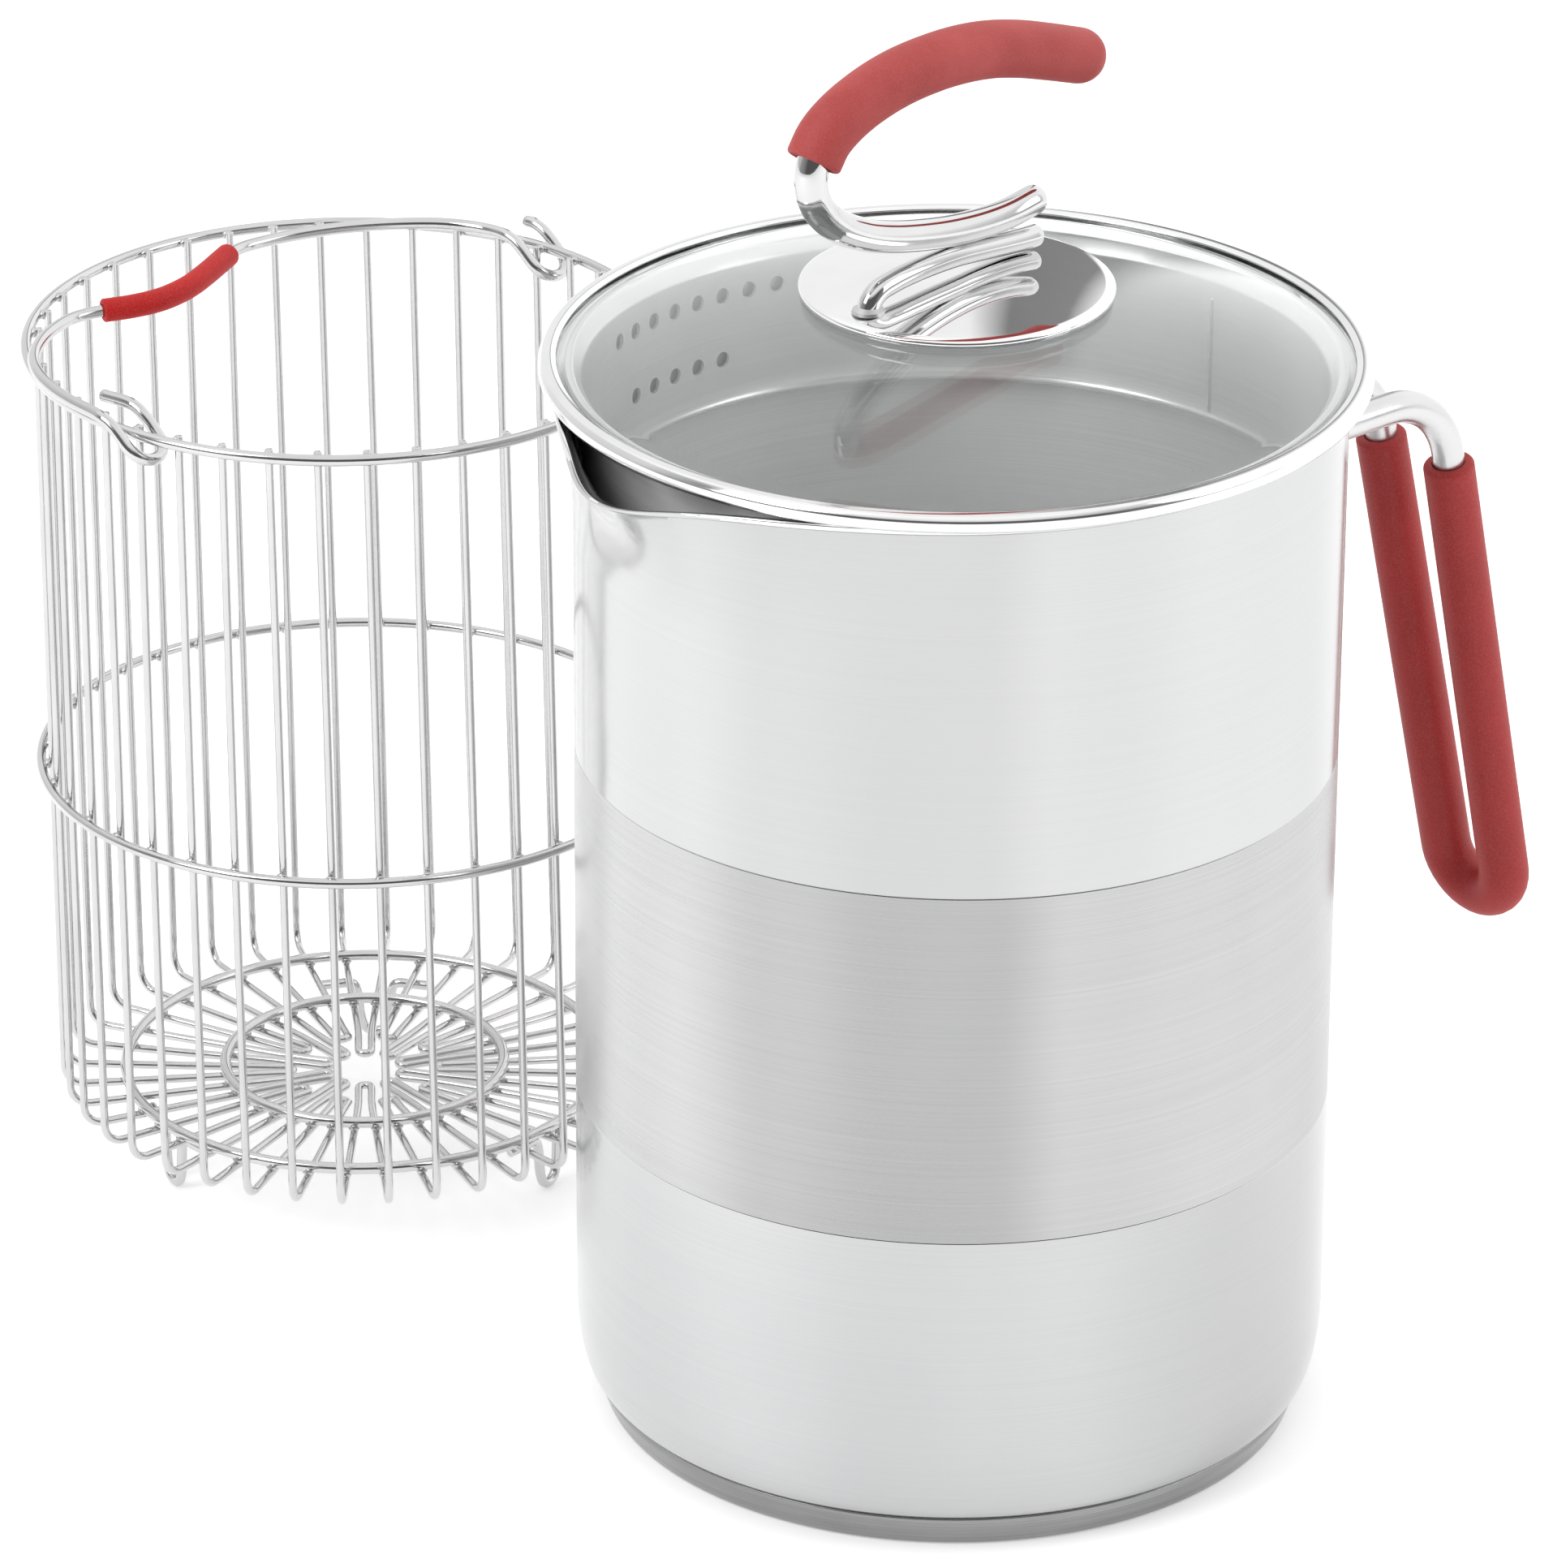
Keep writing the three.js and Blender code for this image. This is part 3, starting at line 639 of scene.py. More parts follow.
# The base cap's steel is made dark as painted reflection: its low tone stands in for a dark
# reflected band.
BASE_STEEL = satin_steel("Satin steel base with painted dark reflection", tone=0.32, rough=0.24)
GLASS = clear_glass()
SEAL = soft_seal()


# ---------------------------------------------------------------- pot
def spout_reach(azimuth, z):
    """How far the wall stands out at an azimuth and a height."""
    off = (azimuth - SPOUT_AXIS + 540) % 360 - 180
    rise = min(max((z - FLARE_START_Z) / (POT_RIM_Z - FLARE_START_Z), 0.0), 1.0)
    flare, lobe = (reach * math.exp(-((off / width) ** 2))
                   for reach, width in (SPOUT_FLARE, SPOUT_LOBE))
    return flare * rise ** 1.6 + lobe * rise ** 1.9


def pot_azimuths(columns=240):
    """Columns crowd towards the spout, where the wall bends most."""
    even = np.linspace(-180, 180, columns, endpoint=False)
    return SPOUT_AXIS + even - math.degrees(0.62) * np.sin(np.radians(even))


def make_pot():
    """The body with its spout, its two fine band lines, its rolled lip and its inside."""
    corner = [(BASE_R + 0.1 + (POT_R - BASE_R - 0.1) * math.cos(math.radians(t)),
               CORNER_TOP_Z - (CORNER_TOP_Z - BASE_TOP_Z) * math.sin(math.radians(t)))
              for t in range(90, 0, -10)]
    lines = []
    for z in (BAND_BOTTOM_Z, BAND_TOP_Z):
        # Rows close to each groove keep its shading narrow.
        lines += [(POT_R - (0 if step else BAND_GROOVE), z + step)
                  for step in (-1.2, -0.3, -0.2, 0, 0.2, 0.3, 1.2)]
    walls = [CORNER_TOP_Z, 40, *np.linspace(FLARE_START_Z, LIP_START_Z, 16)]
    outer = [(POT_R, z) for z in walls[:2]] + lines + [(POT_R, z) for z in walls[2:]]
    inner_r = POT_R - POT_WALL
    lip = fillet([(POT_R, LIP_START_Z), (POT_R + 1.1, LIP_START_Z + 0.7, 0.4),
                  (POT_R + 1.1, POT_RIM_Z, 0.5), (POT_R - 0.3, POT_RIM_Z, 0.5),
                  (inner_r, INNER_LIP_Z)], 5)
    inner = [(inner_r, z) for z in reversed(walls)]
    floor_z = BASE_TOP_Z + POT_FLOOR_THICK
    round_r = POT_INNER_CORNER_R
    inside_corner = [(inner_r - round_r + round_r * math.cos(math.radians(t)),
                      floor_z + round_r - round_r * math.sin(math.radians(t)))
                     for t in range(10, 91, 10)]
    profile = [(0, BASE_TOP_Z), (BASE_R - 3, BASE_TOP_Z), *corner, *outer, *lip[1:], *inner,
               *inside_corner, (30, floor_z), (0, floor_z)]

    def reach(azimuth, r, z):
        return spout_reach(azimuth, z) if r > POT_R - 10 else 0.0

    solid = turned(profile, 0, azimuths=pot_azimuths(), reach=reach)

    def region(centre, normal):
        """The material's number: 0 outside, 1 inside, 2 the lip and the spout's inside."""
        outward = normal[0] * centre[0] + normal[1] * centre[1]
        r = math.hypot(centre[0], centre[1])
        if centre[2] > INNER_LIP_Z or (outward <= 0 and centre[2] > FLARE_START_Z
                                 and r > inner_r + 0.3):
            return 2
        if outward <= 0 and r < inner_r + 0.5 and centre[2] > floor_z - 0.1:
            return 1
        return 0

    piece("pot_shell", solid, [BODY, INSIDE, MIRROR], "pot", ["pot_body"],
          regions=region)


def make_base():
    cap = fillet([(0, 0), (BASE_FOOT_R - 1.2, 0, 0), (BASE_FOOT_R, 0.4, 1.0),
                  (BASE_R, 5.0, 2.0), (BASE_R, 6.2, 0.3), (BASE_R - 0.8, 6.2, 0.2),
                  (BASE_R - 0.8, 5.3), (BASE_FOOT_R - 0.7, 1.1), (0, 1.0)], 5)
    profile = [cap[0], (53.8, 0.0), (54.4, 0.2), (55, 0.0), *cap[1:]]
    piece("base_cap_shell", turned(profile, 192), BASE_STEEL, "pot",
          ["base_cap"])
    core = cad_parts["base_core"]
    core.data.materials.clear()
    core.data.materials.append(CORE)


def handle_path(start_reach):
    """The handle's loop in its own frame: X away from the pot, Y across."""
    lean = (HANDLE_END_REACH - HANDLE_TOP_REACH) / (HANDLE_SLEEVE_Z - HANDLE_END_Z)
    end_half = HANDLE_END_HALF
    loop_z = HANDLE_END_Z + end_half

    def half_at(z):
        share = (min(z, HANDLE_SLEEVE_Z) - loop_z) / (HANDLE_SLEEVE_Z - loop_z)
        return end_half + (HANDLE_HALF_GAP - end_half) * share

    leg = [(x, HANDLE_Z) for x in np.linspace(start_reach, HANDLE_STRAIGHT_END, 8)]
    for t in np.linspace(0, HANDLE_BEND_ANGLE, 14)[1:]:
        a = math.radians(t)
        leg.append((HANDLE_TOP_REACH - HANDLE_BEND_R * (1 - math.sin(a)),
                    HANDLE_Z - HANDLE_BEND_R * (1 - math.cos(a))))
    low = (HANDLE_END_REACH - lean * end_half, loop_z)
    for t in np.linspace(0, 1, 30):
        leg.append((HANDLE_TOP_REACH + (low[0] - HANDLE_TOP_REACH) * t,
                    HANDLE_SLEEVE_Z + (low[1] - HANDLE_SLEEVE_Z) * t))
    near = [np.array([x, -half_at(z), z]) for x, z in leg]
    turn = [np.array([HANDLE_END_REACH - lean * end_half * (1 - math.cos(a)),
                      end_half * math.sin(a), loop_z - end_half * math.cos(a)])
            for a in np.radians(np.linspace(-84, 84, 22))]
    far = [p * [1, -1, 1] for p in reversed(near)]
    return np.array([*near, *turn, *far])


def make_pot_handle():
    """The bent rod, a weld collar round each leg at the wall, and the sleeve."""
    path = handle_path(POT_R - 1.0)
    first = int(np.argmax(path[:, 2] <= HANDLE_SLEEVE_Z))
    sleeved = path[first:len(path) - first]
    even = resample(path, 1.5)
    welds = []
    for side in (-1, 1):
        y = side * HANDLE_HALF_GAP
        wall = math.sqrt(POT_R ** 2 - y ** 2)
        collar = [(HANDLE_ROD_R + out, z) for out, z in
                  ((-0.2, -0.7), (1.2, -0.5), (1.0, 0.3), (0.3, 0.9), (-0.2, 1.2))]
        verts, faces = turned(collar, 28, closed=True)
        verts = np.array(verts)[:, [2, 0, 1]] + [wall, y, HANDLE_Z]
        welds.append((turn_z(verts, HANDLE_AXIS), faces))
    verts, faces = rod(even, HANDLE_ROD_R, 24, 0, 0)
    piece("pot_handle_bar", (turn_z(verts, HANDLE_AXIS), faces), SATIN_ROD, "pot",
          ["pot_handle_rod"])
    piece("pot_handle_welds", joined(*welds), WELD, "pot")
    verts, faces = sleeve(resample(sleeved, 1.5), HANDLE_SLEEVE_R, HANDLE_ROD_R + 0.1, 32, 0.9)
    piece("pot_handle_grip", (turn_z(verts, HANDLE_AXIS), faces), HANDLE_RED, "pot",
          ["pot_handle_sleeve"])


# ---------------------------------------------------------------- lid
def glass_top(r):
    return GLASS_APEX_Z - (GLASS_APEX_Z - GLASS_EDGE_Z) * (r / GLASS_DOME_R) ** 2


def make_lid_shell():
    """The glass and the rim that folds round its edge."""
    radii = [LID_BORE_R, *np.linspace(6, GLASS_DOME_R, 28)]
    top = [(r, glass_top(r)) for r in radii]
    under = [(r, glass_top(r) - GLASS_THICK) for r in radii if r < GLASS_DOME_R - 0.5]
    edge = fillet([top[-1], (GLASS_EDGE_R, GLASS_EDGE_Z, 0.5), (GLASS_EDGE_R, GLASS_UNDER_Z, 0.5),
                   (GLASS_DOME_R - 1, GLASS_UNDER_Z, 1.0), under[-1]], 4)
    profile = [*top, *edge[1:-1], *reversed(under)]
    piece("lid_pane", turned(profile, 192, closed=True), GLASS, "lid",
          ["lid_glass"], sharp=50)
    slot_r = GLASS_EDGE_R + 0.3
    rim = fillet([(73, LID_BOTTOM_Z), (74.6, LID_BOTTOM_Z, 0.8), (LID_R, 206.0, 0.8),
                  (LID_R, 207.4, 1.0), (74.4, LID_TOP_Z - 0.15, 0.8), (73.0, LID_TOP_Z, 0.8),
                  (RIM_INNER_R, 208.25, 0.4), (RIM_INNER_R, 207.9, 0.1), (slot_r, 207.95),
                  (slot_r, RIM_SLOT_Z), (RIM_INNER_R, RIM_SLOT_Z, 0.1),
                  (RIM_INNER_R, LID_BOTTOM_Z, 0.2), (73, LID_BOTTOM_Z)], 5)
    piece("lid_rim_band", turned(rim[:-1], 240, closed=True), RIM, "lid",
          ["lid_rim"], sharp=60)


def make_collar():
    """The skirt under the rim, with its holes drilled through and its vertical seam."""
    inside = COLLAR_R - COLLAR_WALL
    ledge_r = RIM_INNER_R - 0.1
    skirt = fillet([(COLLAR_R, 190), (COLLAR_R, 203.1, 1.2), (68.8, LID_BOTTOM_Z, 0.3),
                    (ledge_r, LID_BOTTOM_Z, 0.15), (ledge_r, RIM_SLOT_Z, 0.15),
                    (68.5, RIM_SLOT_Z, 0.8), (inside, 203.4, 1.2),
                    (inside, COLLAR_FOOT_Z, 0.2)], 5)
    roll_r, roll_z, round_r = COLLAR_ROLL
    roll = [(roll_r + round_r * math.cos(math.radians(t)),
             roll_z + round_r * math.sin(math.radians(t))) for t in range(140, 400, 20)]
    # Rows close above and below each line of holes keep the shading even round them.
    rows = [181, 183.2, 184, 188, 188.8, 195.6, 196.4, 200.4, 201.2]
    profile = [*skirt[1:-1], *[(inside, z) for z in reversed(rows)], skirt[-1], *roll,
               (COLLAR_R, COLLAR_FOOT_Z), *[(COLLAR_R, z) for z in rows]]
    obj = piece("lid_strainer", turned(profile, 288, closed=True), COLLAR, "lid",
                ["strainer_collar"], sharp=50)
    drills = [drill(centre - i * HOLE_PITCH, z) for centre in HOLE_AZIMUTHS
              for z, first, last in HOLE_ROWS for i in range(first, last + 1)]
    verts, faces = joined(*drills)
    mesh = bpy.data.meshes.new("drills")
    mesh.from_pydata([Vector(v) * MM for v in verts], [], faces)
    cutter = new_object("drills", mesh)
    make_outward(mesh)
    cut = obj.modifiers.new("holes", "BOOLEAN")
    cut.operation = "DIFFERENCE"
    cut.solver = "EXACT"
    cut.object = cutter
    apply_modifiers(obj)
    bpy.data.objects.remove(cutter)
    obj.data.set_sharp_from_angle(angle=math.radians(50))
    seam = [polar(inside - 0.12, COLLAR_SEAM_AZIMUTH, z) for z in np.linspace(178.5, 200, 20)]
    piece("lid_strainer_seam", rod(seam, 0.3, 8, 1, 1), RIM, "lid")


def drill(azimuth, z):
    """A short bar that points outwards through the collar's wall."""
    out = polar(1, azimuth)
    path = [polar(COLLAR_R - 3, azimuth, z) + out * t for t in (0, 6)]
    return rod(path, HOLE_R, 20, 0, 0, 1)


def apply_modifiers(obj):
    graph = bpy.context.evaluated_depsgraph_get()
    mesh = bpy.data.meshes.new_from_object(obj.evaluated_get(graph))
    obj.modifiers.clear()
    obj.data = mesh


def boss_top(r):
    return BOSS_APEX_Z - (BOSS_APEX_Z - BOSS_EDGE_Z) * (r / BOSS_R) ** 2


def make_boss():
    """The round cap on the middle of the glass, with a thin rounded edge."""
    radii = np.linspace(0, BOSS_R - 0.5, 20)
    top = [(r, boss_top(r)) for r in radii]
    low = [(r, glass_top(r) + 0.3) for r in reversed(np.linspace(0, BOSS_R - 0.3, 12))]
    edge = [(BOSS_R - 0.15, BOSS_EDGE_Z - 0.1), (BOSS_R, BOSS_EDGE_Z - 0.35),
            (BOSS_R, glass_top(BOSS_R) + 0.55), (BOSS_R - 0.1, glass_top(BOSS_R) + 0.4)]
    piece("lid_boss_cap", turned([*top, *edge, *low], 160), MIRROR, "lid",
          ["lid_boss"])


LID_ROD_LOWER = [(19.4, 232.7), (13.3, 231.9), (6.9, 231.8), (-0.8, 232.4), (-8.5, 233.6),
                 (-17.3, 235.6), (-24.6, 238.1), (-31, 241.6), (-35.6, 246.2), (-37.3, 251)]
LID_ROD_UPPER = [(-36.5, 255.4), (-34.1, 258.6), (-30.1, 261.2), (-24, 263.5), (-16.5, 265.1),
                 (-8.4, 265.7), (-0.2, 265.5), (7.5, 264.5), (15.2, 262.6), (22.3, 260.3),
                 (30.6, 257.4)]
LID_ARCH = [(-22.6, 223.1), (-22.3, 224.3), (-20.4, 226), (-16.9, 226.8), (-11.9, 227.3),
            (-5.9, 227.5), (-0.4, 227.4), (5.3, 226.9), (12.4, 226.2), (17.6, 225.8),
            (20, 225.7)]


def in_lid_plane(pairs):
    return np.array([(s, 0.0, z) for s, z in pairs])


def make_lid_handle():
    """The hooked rod with its sleeve, and the low arch that carries it on the boss."""
    def place(solid):
        return turn_z(solid[0], LID_AXIS), solid[1]

    lower = smooth_path(in_lid_plane(LID_ROD_LOWER + LID_ROD_UPPER[:4]), 1.0)
    share = np.linspace(0, 1, len(lower))
    radii = LID_ROD_R + 0.25 * np.clip(share / 0.6, 0, 1)
    piece("lid_handle_bar", place(rod(lower, radii, 28, 0.9, 0)), ROD, "lid",
          ["lid_handle_upper_rod"])
    arch = smooth_path(in_lid_plane(LID_ARCH), 0.8)
    piece("lid_handle_foot", place(rod(arch, LID_ARCH_R, 24, 0, 0.6)), ROD, "lid",
          ["lid_handle_lower_rod"])
    foot = [(LID_ARCH_R - 0.2, -0.6), (LID_ARCH_R + 1.0, -0.35), (LID_ARCH_R + 0.8, 0.25),
            (LID_ARCH_R - 0.2, 0.9)]
    verts, faces = turned(foot, 28, closed=True)
    verts = np.array(verts) + [LID_ARCH[0][0], 0, LID_ARCH[0][1]]
    piece("lid_handle_foot_weld", place((verts, faces)), WELD, "lid")
    top = smooth_path(in_lid_plane(LID_ROD_UPPER), 1.0)
    grip_radii = LID_SLEEVE_R + 0.15 * np.sin(np.linspace(0, math.pi, len(top)))
    piece("lid_handle_grip", place(blind_sleeve(top, grip_radii)), LID_RED_PAINTED_SHEEN, "lid",
          ["lid_handle_sleeve"])


def blind_sleeve(path, radii, bore=LID_ROD_R + 0.3):
    """A sleeve closed by a dome at its far end, with a short bore and a lip at its mouth."""
    outer, tangents = tube_rings(path, radii, 32)
    lip = 0.8
    rows = []
    depth = 5
    bore_rings, _ = tube_rings(path[:depth + 1], [bore] * (depth + 1), 32)
    rows.append(path[depth][None, :])
    rows.extend(bore_rings[::-1])
    for t in np.linspace(0, 1, 6)[:-1]:
        a = t * math.pi / 2
        shrink = 1 - lip / radii[0] * (1 - math.sin(a))
        rows.append(path[0] - tangents[0] * lip * math.cos(a) + (outer[0] - path[0]) * shrink)
    rows.extend(outer)
    last = len(path) - 1
    for t in np.linspace(0, 1, 9)[1:]:
        a = t * math.pi / 2
        centre = path[last] + tangents[last] * radii[last] * math.sin(a)
        if t == 1:
            rows.append(centre[None, :])
        else:
            rows.append(centre + (outer[last] - path[last]) * math.cos(a))
    return bridge(rows)


def make_lid_hardware():
    """The screw, washer and seal that hold the boss through the glass."""
    head = fillet([(0, 216.3), (1.6, 216.3), (1.6, 215.3, 0.1), (3.2, 215.3, 0.3),
                   (4.2, 216.1, 0.5), (4.2, 217.3, 0.1), (2.4, 217.3), (2.4, 222.7), (0, 222.7)], 4)
    piece("lid_screw_turned", turned(head, 48), HARDWARE, "lid",
          ["lid_screw"])
    washer = fillet([(5, 217.6), (7.5, 217.6, 0.2), (7.5, 218.3, 0.2), (LID_BORE_R, 218.3, 0.1),
                     (LID_BORE_R, 217.6, 0.1), (5, 217.6)], 4)
    piece("lid_washer_turned", turned(washer[:-1], 64, closed=True), HARDWARE, "lid",
          ["lid_washer"])
    seal = fillet([(5, 218.6), (8.5, 218.6, 0.35), (8.5, 219.5, 0.35), (LID_BORE_R, 219.5, 0.1),
                   (LID_BORE_R, 218.6, 0.1), (5, 218.6)], 4)
    piece("lid_seal_moulded", turned(seal[:-1], 64, closed=True), SEAL, "lid",
          ["lid_seal"])


# ---------------------------------------------------------------- basket
def on_basket(solid, azimuth=0.0):
    """A solid made about the Z axis, turned and moved to the basket's place."""
    verts, faces = solid
    return turn_z(verts, azimuth) + BASKET, faces


def upright_azimuth(i):
    return WIRE_PHASE + i * 360 / WIRE_COUNT


def hairpin_side(half_sign, tip, bow):
    """Half of a hairpin wire: down the upright, round the corner and in along the floor."""
    half = 360 / WIRE_COUNT / 2 * half_sign
    top = polar(UPRIGHT_TOP_R, half, UPRIGHT_TOP_Z)
    foot = polar(UPRIGHT_FOOT_R, half, SPOKE_Z + CORNER_BEND_R)
    tangent = polar(1, half + 90)
    points = []
    for t in np.linspace(0, 1, 14):
        points.append(top + (foot - top) * t + tangent * bow * math.sin(math.pi * t))
    for t in np.linspace(0, 90, 7)[1:]:
        a = math.radians(t)
        points.append(polar(UPRIGHT_FOOT_R - CORNER_BEND_R * (1 - math.cos(a)), half,
                            SPOKE_Z + CORNER_BEND_R * (1 - math.sin(a))))
    straight_from = HAIRPIN_HALF / math.sin(math.radians(abs(half)))
    side = half_sign * HAIRPIN_HALF
    ease = 2.0
    points.append(polar(straight_from + ease, half, SPOKE_Z))
    points.append(np.array([straight_from * math.cos(math.radians(half)) - ease, side, SPOKE_Z]))
    points.append(np.array([tip + HAIRPIN_HALF, side, SPOKE_Z]))
    return points


def make_hairpins():
    """Wires of two uprights and two spokes each, with long and short tips in turn."""
    hairpins = WIRE_COUNT // 2
    for i in range(hairpins):
        tip = HAIRPIN_TIPS[i % 2]
        bows = RNG.uniform(-0.25, 0.25, 2)
        near = hairpin_side(1, tip, bows[0])
        far = hairpin_side(-1, tip, bows[1])
        turn = [np.array([tip + HAIRPIN_HALF * (1 - math.cos(a)), HAIRPIN_HALF * math.sin(a),
                          SPOKE_Z]) for a in np.radians(np.linspace(75, -75, 7))]
        path = np.array([*near, *turn, *reversed(far)])
        solid = rod(path, WIRE_R, 12, 0.25, 0.25, 3)
        azimuth = WIRE_PHASE + (i + 0.25) * 360 / hairpins
        piece(f"basket_hairpin_{i + 1:02d}", on_basket(solid, azimuth), WIRE, "basket",
              [f"basket_wire_{i + 1:02d}"])


def make_rings():
    for name, radius, wire, z in (
            ("basket_top_ring", TOP_RING_R, RING_WIRE_R, TOP_RING_Z),
            ("basket_mid_ring", MID_RING_R, MID_WIRE_R, MID_RING_Z),
            ("basket_floor_outer_ring", FLOOR_OUTER_R, RING_WIRE_R, FLOOR_RING_Z),
            ("basket_floor_inner_ring", FLOOR_INNER_R, RING_WIRE_R, FLOOR_RING_Z)):
        piece(name + "_wire", on_basket(closed_ring(radius, wire, z)), WIRE, "basket",
              [name])


def make_welds():
    """Small nuggets where the wires are resistance-welded to the rings."""
    beads = []
    for i in range(WIRE_COUNT):
        azimuth = upright_azimuth(i)
        across = polar(1, azimuth + 90)
        for radius, z in (((UPRIGHT_TOP_R + TOP_RING_R) / 2 - 0.1, TOP_RING_Z),
                          ((UPRIGHT_FOOT_R + MID_RING_R) / 2 - 0.3, MID_RING_Z)):
            beads.append(bead(polar(radius, azimuth, z), (1.15, 0.8, 1.0), across))
        floor_mid = (SPOKE_Z + FLOOR_RING_Z) / 2 - 0.1
        for radius in (FLOOR_OUTER_R, FLOOR_INNER_R):
            beads.append(bead(polar(radius, azimuth, floor_mid), (1.1, 0.9, 0.8), across))
    piece("basket_welds", on_basket(joined(*beads)), WELD, "basket")


def make_feet():
    """Arcs of wire under the spokes, each with a dip to the table."""
    arch_z = SPOKE_Z - WIRE_R - FOOT_WIRE_R - 0.3
    half = [(15, arch_z), (10, arch_z), (6, arch_z), (4.9, arch_z - 0.9), (3.6, 3.6), (2.4, 1.7),
            (0, FOOT_WIRE_R + 0.05)]
    pairs = half + [(-a, z) for a, z in reversed(half[:-1])]
    for i, azimuth in enumerate(FOOT_AZIMUTHS):
        path = smooth_path([polar(FOOT_R, a, z) for a, z in pairs], 0.8)
        solid = rod(path, FOOT_WIRE_R, 14, 0.3, 0.3)
        piece(f"basket_leg_{i + 1}", on_basket(solid, azimuth), WIRE, "basket",
              [f"basket_foot_{i + 1}"])


HOOKS = [polar(HOOK_R, azimuth, BAIL_AXIS_Z) for azimuth in HOOK_AZIMUTHS]
HINGE_LINE = (HOOKS[1] - HOOKS[0]) / np.linalg.norm(HOOKS[1] - HOOKS[0])
TOWARDS_GRIP = np.array([-HINGE_LINE[1], HINGE_LINE[0], 0.0])
BAIL_NEAR_ARM = [(-44.9, -44.2), (-48.9, -39.4), (-52.6, -33.8), (-55.7, -27.2), (-57.5, -19.5),
                 (-57.4, -12.5), (-55.6, -5), (-51.6, 2.4)]
BAIL_GRIP = [(-45.8, 6.4), (-40.6, 8.6), (-35.4, 12.2), (-30.8, 18.3), (-27.6, 25.4),
             (-25.4, 31.3), (-23.9, 35.4)]
BAIL_FAR_ARM = [(-21.4, 39.4), (-16.6, 43.2), (-9.2, 47.4), (0, 50.9), (9.4, 52.6),
                (17.6, 52.6), (25.4, 50.2)]


def hook(centre, free_length):
    """From the free end, round under the top ring, to the level of the folded bail."""
    rise = np.array([HOOK_RUN, BAIL_Z - BAIL_AXIS_Z])

    def local(c, m, up):
        return centre + HINGE_LINE * c + TOWARDS_GRIP * m + np.array([0, 0, up])

    def on_strand(c, along):
        return local(c, along * rise[0], along * rise[1])

    turn_from = HOOK_HALF / np.linalg.norm(rise)
    turn = [on_strand(HOOK_HALF * math.sin(a), turn_from * (1 - math.cos(a)))
            for a in np.radians(np.linspace(75, -75, 11))]
    return [local(HOOK_HALF, rise[0] + free_length, rise[1]),
            local(HOOK_HALF, rise[0] + 1.2, rise[1]),
            on_strand(HOOK_HALF, 0.86), on_strand(HOOK_HALF, turn_from + 0.04),
            *turn,
            on_strand(-HOOK_HALF, turn_from + 0.04), on_strand(-HOOK_HALF, 0.86),
            local(-HOOK_HALF, rise[0] + 1.2, rise[1])]


def make_bail():
    """The folded bail with a hook at each end, and its grip."""
    near = hook(HOOKS[0], 8.4)
    far = hook(HOOKS[1], 3.4)[::-1]
    plan = [np.array([x, y, BAIL_Z]) for x, y in BAIL_NEAR_ARM + BAIL_GRIP + BAIL_FAR_ARM]
    path = smooth_path(np.array([*near, *plan, *far]), 0.9)
    piece("bail_arm", on_basket(rod(path, BAIL_WIRE_R, 16, 0.3, 0.3)), WIRE, "bail",
          ["bail_wire"])
    grip = smooth_path([np.array([x, y, BAIL_Z]) for x, y in BAIL_GRIP], 0.9)
    solid = sleeve(grip, BAIL_GRIP_R, BAIL_WIRE_R + 0.1, 24, 0.5)
    piece("bail_grip_sleeve", on_basket(solid), GRIP_RED, "bail",
          ["bail_grip"])


# ---------------------------------------------------------------- studio
CAMERA_AT = Vector((-32.85, -1523.3, 828.56)) * MM
CAMERA_PITCH = 24.853               # degrees down
CAMERA_ROLL = 0.249
CAMERA_LENS = 209.96
FLOOR_HALF = 4.0                    # metres
FLOOR_GLOW = 0.35
LIGHT_TARGET = Vector((0, 0, 0.1))
SEEN_WALL = 0.93                    # what the camera itself sees past the floor


def make_camera():
    data = bpy.data.cameras.new("camera")
    data.sensor_width = 36
    data.lens = CAMERA_LENS
    data.clip_start = 0.05
    camera = new_object("camera", data)
    tilt = Matrix.Rotation(math.radians(90 - CAMERA_PITCH), 4, "X")
    roll = Matrix.Rotation(math.radians(CAMERA_ROLL), 4, "Z")
    camera.matrix_world = Matrix.Translation(CAMERA_AT) @ tilt @ roll
    bpy.context.scene.camera = camera


def make_floor():
    size = FLOOR_HALF
    mesh = bpy.data.meshes.new("studio_floor")
    mesh.from_pydata([(-size, -size, 0), (size, -size, 0), (size, size, 0), (-size, size, 0)],
                     [], [(0, 1, 2, 3)])
    floor = new_object("studio_floor", mesh)
    s = Surface("Lit pale floor", Roughness=0.6, Emission_Color=(1, 1, 1, 1),
                Emission_Strength=FLOOR_GLOW)
    paper = s.noise((300, 300, 300))
    s.set("Base Color", s.blend(s.spread(paper, 0, 1), (0.88, 0.88, 0.88), (0.9, 0.9, 0.9)))
    mesh.materials.append(s.material)


def make_light(name, at, size, power):
    data = bpy.data.lights.new(name, "AREA")
    data.shape = "RECTANGLE"
    data.size, data.size_y = size
    data.energy = power
    light = new_object(name, data)
    light.location = at
    light.rotation_euler = (LIGHT_TARGET - Vector(at)).to_track_quat("-Z", "Y").to_euler()


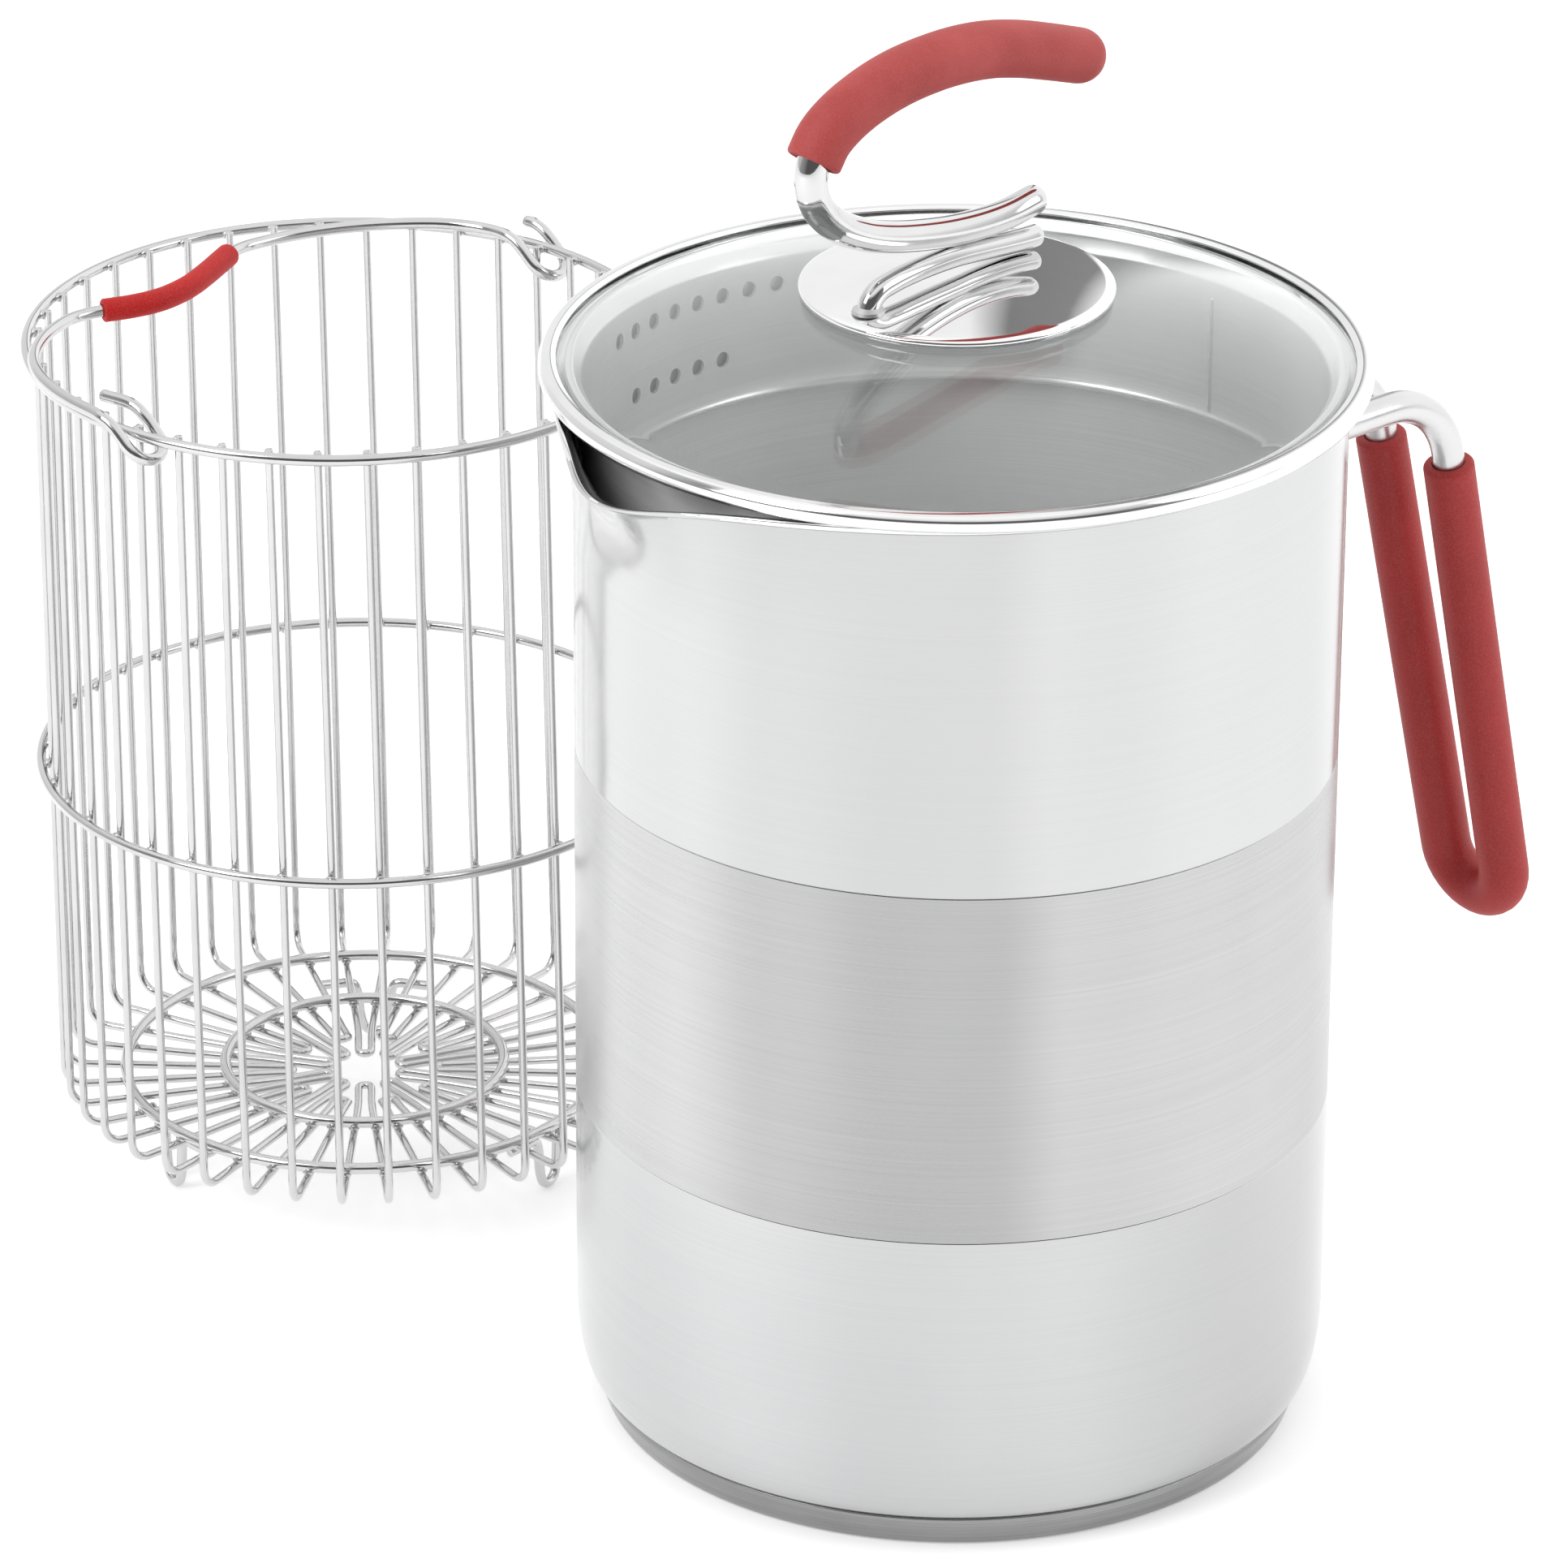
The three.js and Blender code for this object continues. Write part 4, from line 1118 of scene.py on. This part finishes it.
def make_world():
    """A room: bright ceiling, a pale wall behind with one dim strip, a dim wall in front."""
    world = bpy.data.worlds.new("studio")
    world.use_nodes = True
    tree = world.node_tree
    coords = tree.nodes.new("ShaderNodeTexCoord")
    split = tree.nodes.new("ShaderNodeSeparateXYZ")
    tree.links.new(coords.outputs["Generated"], split.inputs["Vector"])

    def ramp(axis, stops):
        """Brightness along one component of the direction, from (component, value) pairs."""
        scaled = tree.nodes.new("ShaderNodeMapRange")
        scaled.inputs["From Min"].default_value = -1
        tree.links.new(split.outputs[axis], scaled.inputs["Value"])
        made = tree.nodes.new("ShaderNodeValToRGB")
        elements = made.color_ramp.elements
        for at, value in stops[1:-1]:
            elements.new((at + 1) / 2)
        for element, (at, value) in zip(elements, stops):
            element.position = (at + 1) / 2
            element.color = (value, value, value, 1)
        tree.links.new(scaled.outputs["Result"], made.inputs["Fac"])
        return made.outputs["Color"]

    def mixed(factor, low, high):
        made = tree.nodes.new("ShaderNodeMix")
        made.data_type = "RGBA"
        tree.links.new(factor, made.inputs["Factor"])
        tree.links.new(low, made.inputs[6])
        tree.links.new(high, made.inputs[7])
        return made.outputs[2]

    behind = ramp("Y", [(-1, 0), (-0.15, 0), (0.15, 1), (1, 1)])
    back_wall = ramp("X", [(-1, 0.7), (-0.5, 1.0), (0.03, 1.0), (0.07, 0.24), (0.125, 0.27),
                           (0.16, 1.3), (1, 1.3)])
    front_wall = ramp("X", [(-1, 0.4), (-0.6, 0.12), (0.6, 0.12), (1, 0.35)])
    ceiling = ramp("Z", [(-1, 1.3), (0.4, 1.3), (0.9, 1.15), (1, 1.05)])
    overhead = ramp("Z", [(-1, 0), (0.6, 0), (0.8, 1), (1, 1)])
    light = mixed(overhead, mixed(behind, front_wall, back_wall), ceiling)
    background = tree.nodes["Background"]
    path = tree.nodes.new("ShaderNodeLightPath")
    seen = tree.nodes.new("ShaderNodeBackground")
    seen.inputs["Color"].default_value = (SEEN_WALL, SEEN_WALL, SEEN_WALL, 1)
    mix = tree.nodes.new("ShaderNodeMixShader")
    tree.links.new(light, background.inputs["Color"])
    tree.links.new(path.outputs["Is Camera Ray"], mix.inputs["Fac"])
    tree.links.new(background.outputs["Background"], mix.inputs[1])
    tree.links.new(seen.outputs["Background"], mix.inputs[2])
    tree.links.new(mix.outputs["Shader"], tree.nodes["World Output"].inputs["Surface"])
    bpy.context.scene.world = world


make_camera()
make_pot()
make_base()
make_pot_handle()
make_lid_shell()
make_collar()
make_boss()
make_lid_handle()
make_lid_hardware()
make_hairpins()
make_rings()
make_welds()
make_feet()
make_bail()
make_floor()
make_light("key_left", at=(-1.4, -0.9, 1.5), size=(0.9, 1.2), power=18)
make_light("fill_right", at=(1.6, -0.4, 1.0), size=(0.7, 1.2), power=6)
make_world()
bpy.context.scene.view_settings.view_transform = "Standard"
